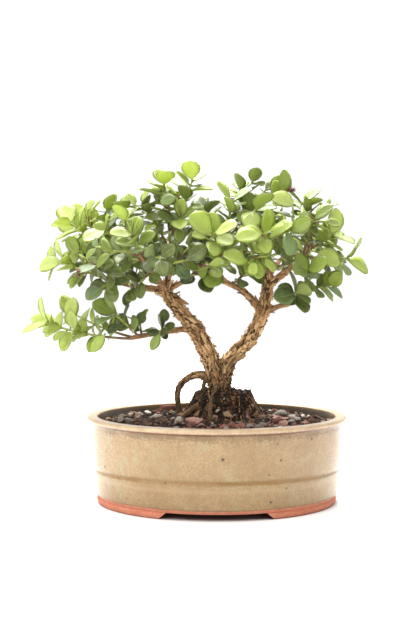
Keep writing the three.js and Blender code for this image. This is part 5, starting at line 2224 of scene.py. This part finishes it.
class Crown:
    """Every leafy shoot: those of the solids, and the finer twigs and leaves that fill the crown."""

    def __init__(self) -> None:
        """Grows the solids' own shoots and leaves in the solids' order."""
        self.shoots = [
            Shoot(
                plan.name, plan.bough, self.on_bough(plan.bough, plan.share), np.array([plan.x, plan.y, plan.z]),
                plan.rise, plan.pairs, plan.roll, plan.size, plan.tone,
            )
            for plan in SHOOTS
        ]
        self.room = Clearance(self.shoots)
        self.floor, self.tries = 0.0, RULE.tries
        for index, shoot in enumerate(self.shoots):
            self.leaf_out(shoot, Draw(RULE.seed * (index + 1)))
        LOG.info("crown: %d leaves of the solids", len(self.room.leaves))

    @staticmethod
    def on_bough(bough: str, share: float) -> Array:
        """The place at a share of a bough's chain.

        Args:
            bough: The bough's name.
            share: The share.

        Returns:
            The place.
        """
        chain = BOUGHS[bough][:, :3]
        place = share * (len(chain) - 1)
        index = min(len(chain) - 2, int(place))
        return chain[index] + (chain[index + 1] - chain[index]) * (place - index)

    def leaf_out(self, shoot: Shoot, draw: Draw) -> int:
        """Grows the pairs of a shoot from its tip down, and counts the leaves that found room."""
        pairs = range(shoot.pairs - 1, -1, -1)
        return sum(self.pair(shoot, shoot.shares[pair], pair, pair == shoot.pairs - 1, draw, 1.0) for pair in pairs)

    def pair(self, shoot: Shoot, share: float, pair: float, at_tip: bool, draw: Draw, scale: float) -> int:
        """Grows the two leaves of a pair where there is room.

        Args:
            shoot: The shoot.
            share: How far along the stem.
            pair: The pair's number, which sets its turn.
            at_tip: Whether it is the last pair.
            draw: The source of its unevenness.
            scale: Its size against the shoot's leaves.

        Returns:
            How many leaves found room.
        """
        point, along = shoot.point(share), shoot.along(share)
        ends = (RULE.own_skip / shoot.length, RULE.own_reach / shoot.length)
        own_stem = np.array([[shoot.point(share + way * end) for end in ends] for way in (1, -1)])
        light = unit(point - np.array(RULE.heart)) * RULE.light_outward
        light = light + np.array([0, -RULE.light_front, RULE.light_up])
        outline = LeafOutline.LARGE if shoot.size > RULE.small else LeafOutline.SMALL
        found = 0
        for side in (0, 2):
            drawn = [draw() for _ in range(7)]
            outward = shoot.aside(share, shoot.roll + 90 * (pair + side))
            grown = shoot.size * (0.8 + 0.22 * share) * (0.88 + 0.24 * drawn[0]) * scale
            width = grown * (RULE.width_share + 0.14 * (drawn[1] - 0.5))
            opened = RULE.open_tip if at_tip else RULE.open_side
            for attempt in range(self.tries):
                swing = (1 if attempt % 2 else -1) * math.ceil((attempt % 12) / 2)
                lean = math.radians(opened + 22 * (drawn[3] - 0.5) + 2 * abs(swing))
                turn = shoot.roll + 90 * (pair + side) + 20 * (drawn[2] - 0.5) + RULE.swing * swing
                run = shoot.aside(share, turn) * math.sin(lean) + along * math.cos(lean)
                face = light + np.array([drawn[5] - 0.5, drawn[6] - 0.5, 0])
                face = face - 0.2 * swing * outward + 0.1 * attempt * along
                face = unit(face - face.dot(run) * run)
                shrink = 1 if attempt < 12 else RULE.shrunk
                axes = np.array([run, np.cross(face, run), face])
                leaf = Leaf(point + outward * RULE.stem[1], axes, grown * shrink, width * shrink, outline)
                low = (leaf.base + run * leaf.length)[2] < self.floor
                if low or not self.room.is_clear(leaf, shoot.name, own_stem):
                    continue
                fresh = shoot.tone * (0.5 + 0.5 * share**1.5) + 0.4 * (drawn[4] - 0.5)
                leaf.tone, leaf.bough = min(1.0, max(0.0, fresh)), shoot.bough
                self.room.leaves.append(leaf)
                found += 1
                break
        return found


@dataclass
class Foliage:
    """The leaves, twigs and spines of the crown, as pieces by bough."""

    crown: Crown
    seed: int = 2024
    leaf_kinds: int = 8
    leaf_seed: int = 900
    tries: int = 15
    twigs: int = 3
    twig_tries: int = 5
    spurs: int = 7
    between_seed: int = 5003
    between_scale: float = 0.78
    stalk: tuple[float, float] = (2.5, 17)
    spine_share: float = 0.5
    floor: float = 129.0
    floors: dict[str, float] = field(default_factory=lambda: {"left_low": 122.0, "low_left": 92.0, "low_right": 114.0})
    bare: tuple[str, ...] = ("low_left", "low_right", "right_tip_high", "right_tip_low")
    buds: tuple[Point, ...] = ((42.5, -4.0, 178.2), (-75.5, -31.0, 131.5))

    def place_large(self) -> None:
        """Sets the large leaves, each at the depth where it has room, on a stalk from the nearest stem."""
        stems = [(shoot, shoot.point(share)) for shoot in self.crown.shoots for share in np.linspace(0.3, 1, 8)]
        joints, room, count = np.array([joint for _, joint in stems]), self.crown.room, len(self.crown.room.leaves)
        for index, plan in enumerate(LARGE_LEAVES):
            turn = math.radians(plan.turn)
            run = unit(np.array([math.cos(turn), -0.15, math.sin(turn)]))
            face = np.array([0.12 * math.sin(9 * index), -1.0, 0.5])
            face = unit(face - face.dot(run) * run)
            axes, options = np.array([run, np.cross(face, run), face]), []
            for y in range(-40, 27, 2):
                base = np.array([plan.x, y, plan.z]) - run * plan.length / 2
                away = np.linalg.norm(joints - base, axis=1)
                nearest = int(away.argmin())
                options.append((float(away[nearest]), y, nearest, base))
            for away, _, nearest, base in sorted(options, key=lambda option: option[0]):
                shoot, joint = stems[nearest]
                leaf = Leaf(base, axes, plan.length, plan.width, LeafOutline.LARGE, plan.tone, shoot.bough)
                stalk = np.array([(joint + 0.5 * (base - joint), base - 1.2 * run)] * 2)
                if not self.stalk[0] < away < self.stalk[1] or not self._inside(base + run * plan.length, 0.8):
                    continue
                free = joint + 0.2 * (base - joint)
                if room.is_clear(leaf, shoot.name, stalk) and room.line_is_clear(free, base, 0.45):
                    room.leaves.append(leaf)
                    name = f"{shoot.name}_stalk_{index}"
                    stem = Shoot(name, shoot.bough, joint, base, 0.3, 1, 0, plan.length, plan.tone, (0.42, 0.4))
                    self.crown.shoots.append(stem)
                    room.add_stem(stem)
                    break
            else:
                LOG.info("large leaf %d: no room", index)
        LOG.info("crown: %d large leaves", len(room.leaves) - count)

    def thicken(self) -> None:
        """Adds pairs between the solids' pairs, side twigs and inner spurs wherever there is room."""
        source, self.crown.tries = np.random.default_rng(self.seed), self.tries
        for index, shoot in enumerate(self.crown.shoots[: len(SHOOTS)]):
            draw = Draw(self.between_seed * (index + 1))
            self.crown.floor = self.floors.get(shoot.bough, self.floor)
            for pair in range(shoot.pairs - 1):
                middle = (shoot.shares[pair] + shoot.shares[pair + 1]) / 2
                self.crown.pair(shoot, middle, pair + 0.5, False, draw, self.between_scale)
            for twig in range(0 if {shoot.bough, shoot.name} & {*self.bare} else self.twigs):
                self._twig(shoot, twig, source, draw)
        for bough in BOUGHS:
            self.crown.floor = self.floors.get(bough, self.floor)
            for spur in range(0 if bough in self.bare else self.spurs):
                self._spur(bough, spur, source)
        LOG.info("crown: %d leaves in all, %d stems", len(self.crown.room.leaves), len(self.crown.shoots))

    @staticmethod
    def _inside(tip: Array, margin: float) -> bool:
        """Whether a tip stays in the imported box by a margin."""
        low, high = (np.array(corner) / MM - (PLACE.x, PLACE.y, 0) for corner in CAD_BOX)
        return bool((tip > low + margin).all() and (tip < high - margin).all())

    def _grow(self, shoot: Shoot, draw: Draw) -> bool:
        """Adds a stem with its leaves if the stem itself is clear and any leaf finds room.

        Args:
            shoot: The stem.
            draw: Where its leaves' unevenness is drawn from.

        Returns:
            Whether it was added.
        """
        if not self.crown.room.line_is_clear(shoot.point(0.25), shoot.point(1.0), 0.7):
            return False
        if not self.crown.leaf_out(shoot, draw):
            return False
        self.crown.shoots.append(shoot)
        self.crown.room.add_stem(shoot)
        return True

    def _twig(self, parent: Shoot, number: int, source: np.random.Generator, draw: Draw) -> None:
        """Grows a side twig from a shoot.

        Args:
            parent: The shoot.
            number: Which of its twigs.
            source: Where its place and turn are drawn from.
            draw: Where its leaves' unevenness is drawn from.
        """
        for _ in range(self.twig_tries):
            share = source.uniform(0.2, 0.9)
            start = parent.point(share)
            outward = unit(start - np.array(RULE.heart))
            heading = 0.5 * parent.along(share) + parent.aside(share, source.uniform(0, 360)) + 0.45 * outward
            tip = start + unit(heading) * source.uniform(7, 12)
            if not self._inside(tip, 10):
                continue
            tone = max(0.0, parent.tone - 0.12 + 0.2 * source.random())
            size = min(parent.size, 14) * source.uniform(0.66, 0.86)
            rise, roll = source.uniform(0, 1.5), source.uniform(0, 90)
            name = f"{parent.name}_{number}"
            if self._grow(Shoot(name, parent.bough, start, tip, rise, 2, roll, size, tone, (0.5, 0.36)), draw):
                return

    def _spur(self, bough: str, number: int, source: np.random.Generator) -> None:
        """Grows a short leafy spur from a bough, for the dark inside of the crown.

        Args:
            bough: The bough's name.
            number: Which of its spurs.
            source: What it is drawn from.
        """
        for _ in range(self.twig_tries):
            start = self.crown.on_bough(bough, source.uniform(0.4, 1.0))
            tip = start + unit(source.normal(size=3) + np.array([0, 0, 0.5])) * source.uniform(7, 13)
            if not self._inside(tip, 11) or tip[2] < self.crown.floor + 7:
                continue
            drawn = [source.uniform(*ends) for ends in ((0, 90), (8.5, 11.5), (0, 0.3))]
            spur = Shoot(f"spur_{bough}_{number}", bough, start, tip, 1.0, 2, *drawn, (0.6, 0.4))
            if self._grow(spur, Draw(int(source.integers(1, 2**31)))):
                return

    def leaf_shape(self, kind: int) -> tuple[Array, Faces, Array]:
        """One leaf a unit long and a unit wide: a stalk, then a round blade, folded along its rib and curled.

        Args:
            kind: Which of the shapes.

        Returns:
            Its vertices and faces, then its map's two parts, underside and rim value by vertex.
        """
        source = np.random.default_rng(self.leaf_seed + kind)
        skew, curl = source.uniform(-0.04, 0.04), source.uniform(-0.09, 0.06)
        cup, wave, phase = source.uniform(0.0, 0.1), source.uniform(0.006, 0.02), source.uniform(0, 6)
        rows = (
            (-0.03, 0.045), (0.07, 0.05), (0.135, 0.2), (0.28, 0.395), (0.47, 0.495),
            (0.66, 0.485), (0.83, 0.365), (0.95, 0.19),
        )
        points, held = [], []
        for x, half in rows:
            blade = min(1.0, max(0.0, (x - 0.07) / 0.15))
            thick = lerp(0.05, 0.02, blade)
            for place, side in ((-1, 0), (-0.5, 1), (0, 1), (0.5, 1), (1, 0), (0.5, -1), (0, -1), (-0.5, -1)):
                y = place * half
                fold = RULE.fold * (math.hypot(y, 0.05) - 0.05) * blade
                z = fold + cup * y * y * blade + curl * x * x + wave * math.sin(9 * x + phase) * abs(place) * blade
                z += side * thick * (1 if place else 0.72 if side > 0 else 1.3)
                points.append((x, y + skew * math.sin(math.pi * x), z))
                held.append((x, 0.5 + 0.5 * place, (1 - side) / 2, abs(place) if side else 1.0))
        points.append((1.0, skew * 0.1, curl))
        held.append((1.0, 0.5, 0.5, 1.0))
        faces: Faces = []
        for row, side in itertools.product(range(len(rows) - 1), range(8)):
            a, b = row * 8 + side, row * 8 + (side + 1) % 8
            faces.append((a, a + 8, b + 8, b))
        end, tip = (len(rows) - 1) * 8, len(rows) * 8
        faces += [(end + side, tip, end + (side + 1) % 8) for side in range(8)]
        return np.array(points), [*faces, tuple(range(8))], np.array(held)

    def build(self) -> None:
        """Makes the leaves of each bough, all twigs, all spines and the dry buds."""
        finish, tray = LeafFinish().make(), PartTray("leaf_shapes")
        for kind in range(self.leaf_kinds):
            points, faces, held = self.leaf_shape(kind)
            part = tray.add(points, faces, under=held[:, 2], rim=held[:, 3])
            corners = np.empty(len(part.data.loops), int)
            part.data.loops.foreach_get("vertex_index", corners)
            layer = part.data.uv_layers.new(name="leaf")
            layer.data.foreach_set("uv", held[corners, :2].astype(np.float32).ravel())
        for bough in BOUGHS:
            leaves = [leaf for leaf in self.crown.room.leaves if leaf.bough == bough]
            plans = [plan for plan in SHOOTS if plan.bough == bough]
            tone = sum(plan.tone for plan in plans) / len(plans)
            slot = "leaf_dark" if tone < 0.25 else "leaf_green" if tone < 0.6 else "leaf_bright"
            nodes = tuple(f"shoot_{plan.name}" for plan in plans)
            self._leaves(f"leaves_{bough}", leaves, slot, nodes, tray, finish)
        tray.clear()
        self._twigs()
        self._spines()

    @staticmethod
    def _leaves(
        name: str, leaves: list[Leaf], slot: str, nodes: tuple[str, ...], tray: PartTray, finish: Material
    ) -> None:
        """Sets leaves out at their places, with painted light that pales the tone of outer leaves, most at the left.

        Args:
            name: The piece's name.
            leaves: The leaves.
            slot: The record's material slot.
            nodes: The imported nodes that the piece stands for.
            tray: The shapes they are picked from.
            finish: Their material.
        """
        source, count = np.random.default_rng(len(leaves) * 31 + 7), len(leaves)
        piece = new_object(name, np.array([leaf.base for leaf in leaves]), [])
        axes, tone = np.array([leaf.axes for leaf in leaves]), np.array([leaf.tone for leaf in leaves])
        # Painted light: leaves far out from the heart of the crown get a paler tone, more so towards the lit left side
        away = np.linalg.norm(np.array([leaf.base for leaf in leaves]) - RULE.heart, axis=1)
        left = eased(np.array([leaf.base[0] for leaf in leaves]), 30, -40)
        tone = np.minimum(1.0, tone + (0.12 + 0.22 * left) * eased(away, 48, 92))
        spread = np.array([(leaf.length, leaf.width, (leaf.length + leaf.width) / 2) for leaf in leaves])
        write_attributes(
            piece, run=axes[:, 0], face=axes[:, 2], spread=spread * MM, tone=tone,
            # Blue-green on some darker leaves: partly older leaves' colour, partly a painted reflection
            cool=np.where(source.random(count) < 0.16, source.uniform(0.4, 0.9, count), 0) * (tone < 0.6),
            kind=source.integers(0, tray.count, count),
        )
        grow(piece, PLANTING.setting, slot, finish, {"Parts": tray}, nodes)

    def _twigs(self) -> None:
        """Makes every stem as a round twig, swollen a little where leaves sit and narrowed at its tip."""
        rows: list[tuple[float, ...]] = []
        edges: Faces = []
        for shoot in self.crown.shoots:
            steps = max(8, round(shoot.length / 1.6))
            for step in range(steps + 1):
                share = step / steps
                radius = lerp(*shoot.thick, share)
                radius += sum(0.2 * math.exp(-(((share - node) * shoot.length) ** 2) / 0.5) for node in shoot.shares)
                if step:
                    edges.append((len(rows) - 1, len(rows)))
                age = 1 - share * (0.75 + 0.4 * shoot.tone)
                rows.append((*shoot.point(share), radius * (0.35 if step == steps else 1), age))
        table = np.array(rows)
        piece = new_object("young_twigs", table[:, :3], [], edges)
        write_attributes(piece, thick=table[:, 3] * MM, age=table[:, 4])
        grow(piece, PLANTING.tubes, "bark", TwigFinish().make(), {"Sides": 8})

    @staticmethod
    def _spine_shape(spread: float) -> Skin:
        """A forked spine one unit long: a stalk that parts in two sharp points.

        Args:
            spread: How far each point leans out.

        Returns:
            Its vertices and faces.
        """
        points: list[Point] = []
        faces: Faces = []
        for side in (-1, 1):
            first = len(points)
            for x, y, radius in ((-0.08, 0.02, 0.09), (0.34, 0.05, 0.075), (0.6, 0.05 + 0.4 * spread, 0.055)):
                turns = ((1, 0), (0, 1), (-1, 0), (0, -1))
                points += [(x, side * y + radius * across, radius * up) for across, up in turns]
            points.append((1.0, side * spread, 0.04))
            for row, turn in itertools.product(range(2), range(4)):
                a, b = first + row * 4 + turn, first + row * 4 + (turn + 1) % 4
                faces.append((a, b, b + 4, a + 4))
            faces += [(first + 8 + turn, first + 8 + (turn + 1) % 4, first + 12) for turn in range(4)]
            faces.append((first + 3, first + 2, first + 1, first))
        return np.array(points), faces

    def _spines(self) -> None:
        """Sets small forked spines on the twigs, and two dry flower buds in the crown."""
        source = np.random.default_rng(self.seed + 5)
        rows: list[tuple[Array, ...]] = []
        for shoot in self.crown.shoots:
            for number, share in enumerate(shoot.shares):
                if source.random() > self.spine_share:
                    continue
                turn, lean = shoot.roll + 90 * number + source.uniform(78, 102), math.radians(source.uniform(35, 60))
                run = shoot.aside(share, turn) * math.sin(lean) + shoot.along(share) * math.cos(lean)
                point, length = shoot.point(share), source.uniform(1.8, 3.4)
                if self.crown.room.line_is_clear(point + run * 0.9, point + run * length, 0.15):
                    rows.append((point, run, unit(np.cross(run, source.normal(size=3))), np.full(3, length)))
        self._set_spikes("spines", rows, SpineFinish())
        petals: list[tuple[Array, ...]] = []
        for bud in self.buds:
            for _ in range(14):
                run = unit(source.normal(size=3) + np.array([0.3, -0.2, 0.9]))
                face = unit(np.cross(run, source.normal(size=3)))
                petals.append((np.array(bud), run, face, np.array([3.4, 4.2, 4.2])))
        tones = ((0.0, "5c3b2c"), (0.5, "85544a"), (1.0, "b0776a"))
        self._set_spikes("dry_buds", petals, SpineFinish("dry_bud", tones))

    @staticmethod
    def _set_spikes(name: str, rows: list[tuple[Array, ...]], look: SpineFinish) -> None:
        """Sets forked spikes out from rows of place, direction, face and size.

        Args:
            name: The piece's name.
            rows: The rows.
            look: Their finish.
        """
        points, run, face, spread = (np.array(column) for column in zip(*rows, strict=True))
        piece, tray = new_object(name, points, []), PartTray(name + "_shapes")
        for fork in (0.28, 0.4, 0.1):
            shape, skin = Foliage._spine_shape(fork)
            tray.add(shape, skin, tip=np.maximum(shape[:, 0], 0))
        write_attributes(piece, run=run, face=face, spread=spread * MM, kind=np.arange(len(rows)) % 3)
        grow(piece, PLANTING.setting, "bark", look.make(), {"Parts": tray})
        tray.clear()


# Studio


@dataclass
class Studio:
    """A pale floor with a painted contact shadow under the pot, a white surround, soft lamps above and at the left, and
    the camera.
    """

    focal_pixels: float = 1000.0
    frame_height: int = 624
    distance: float = 577.0
    eye_height: float = 137.0
    pitch: float = 2.75
    yaw: float = 0.487
    floor_half: float = 3000.0
    shadow_reach: float = 0.011
    exposure: float = 0.1
    lamps: tuple[tuple[str, Point, float, float], ...] = (
        ("key", (-400, -520, 560), 0.5, 5.0),
        ("top", (-40, 300, 740), 0.5, 22.0),
    )

    def floor(self) -> None:
        """Lays the floor, with a painted shadow, tinted brown, where it lies close under the pot."""
        half = self.floor_half
        corners = [(-half, -half, 0), (half, -half, 0), (half, half, 0), (-half, half, 0)]
        piece = new_object("floor", np.array(corners, float), [(0, 1, 2, 3)])
        paint = Paint("white_paper")
        tooth = paint.noise(paint.place, 30.0, 2)
        # Painted shadow: the floor darkens where ambient occlusion finds the pot close above, tinted brown as a painted
        # reflection of the clay foot
        near = paint.out("ShaderNodeAmbientOcclusion", {"samples": 8}, "AO", Distance=self.shadow_reach)
        under = near.span(0.55, 0.12, 0, 0.92)
        floor_and_painted_shadow = paint.layers((0.94, 0.94, 0.93, 1), (under, "4a2e20"))
        made = paint.finish(floor_and_painted_shadow, tooth, 0.1, Roughness=tooth.span(0, 1, 0.7, 0.9))
        piece.data.materials.append(made)

    def light(self) -> None:
        """Sets the white surround and the lamps."""
        world = bpy.data.worlds.new("white_surround")
        bpy.context.scene.world = world
        world.use_nodes = True
        world.node_tree.nodes["Background"].inputs["Color"].default_value = (1, 1, 1, 1)
        target = Vector(PLACE.metres([(-8, 0, 90)])[0])
        for name, where, size, power in self.lamps:
            lamp = bpy.data.lights.new(name, "AREA")
            lamp.size, lamp.energy = size, power
            stand = linked(name, lamp)
            stand.location = Vector(PLACE.metres([where])[0])
            stand.rotation_euler = (target - stand.location).to_track_quat("-Z", "Y").to_euler()

    def camera(self) -> None:
        """Sets the camera at the photograph's angle."""
        lens = bpy.data.cameras.new("camera")
        lens.sensor_fit = "VERTICAL"
        lens.sensor_height = lens.sensor_width = 36.0
        lens.lens = 36.0 * self.focal_pixels / self.frame_height
        lens.clip_start, lens.clip_end = 0.01, 20.0
        stand = linked("camera", lens)
        stand.location = Vector(PLACE.metres([(0, -self.distance, self.eye_height)])[0])
        stand.rotation_euler = (math.radians(90 - self.pitch), 0, math.radians(self.yaw))
        bpy.context.scene.camera = stand

    def build(self) -> None:
        """Sets up floor, light, camera and how light is shown."""
        self.floor()
        self.light()
        self.camera()
        view = bpy.context.scene.view_settings
        view.view_transform, view.look, view.exposure = "Standard", "None", self.exposure


def main() -> None:
    """Builds every sub-assembly in order."""
    logging.basicConfig(level=logging.INFO, format="%(relativeCreated)6.0f ms %(message)s")
    Studio().build()
    pot = StonewarePot()
    pot.dress(pot.build())
    DrainScreens().dress()
    bed = SoilBed(pot)
    bed.dress(bed.build())
    wood = TreeWood()
    grown = wood.build()
    wood.dress(grown)
    RootHairs(bed).build(grown.data.materials[0])
    foliage = Foliage(Crown())
    foliage.place_large()
    foliage.thicken()
    foliage.build()


if __name__ == "__main__":
    main()
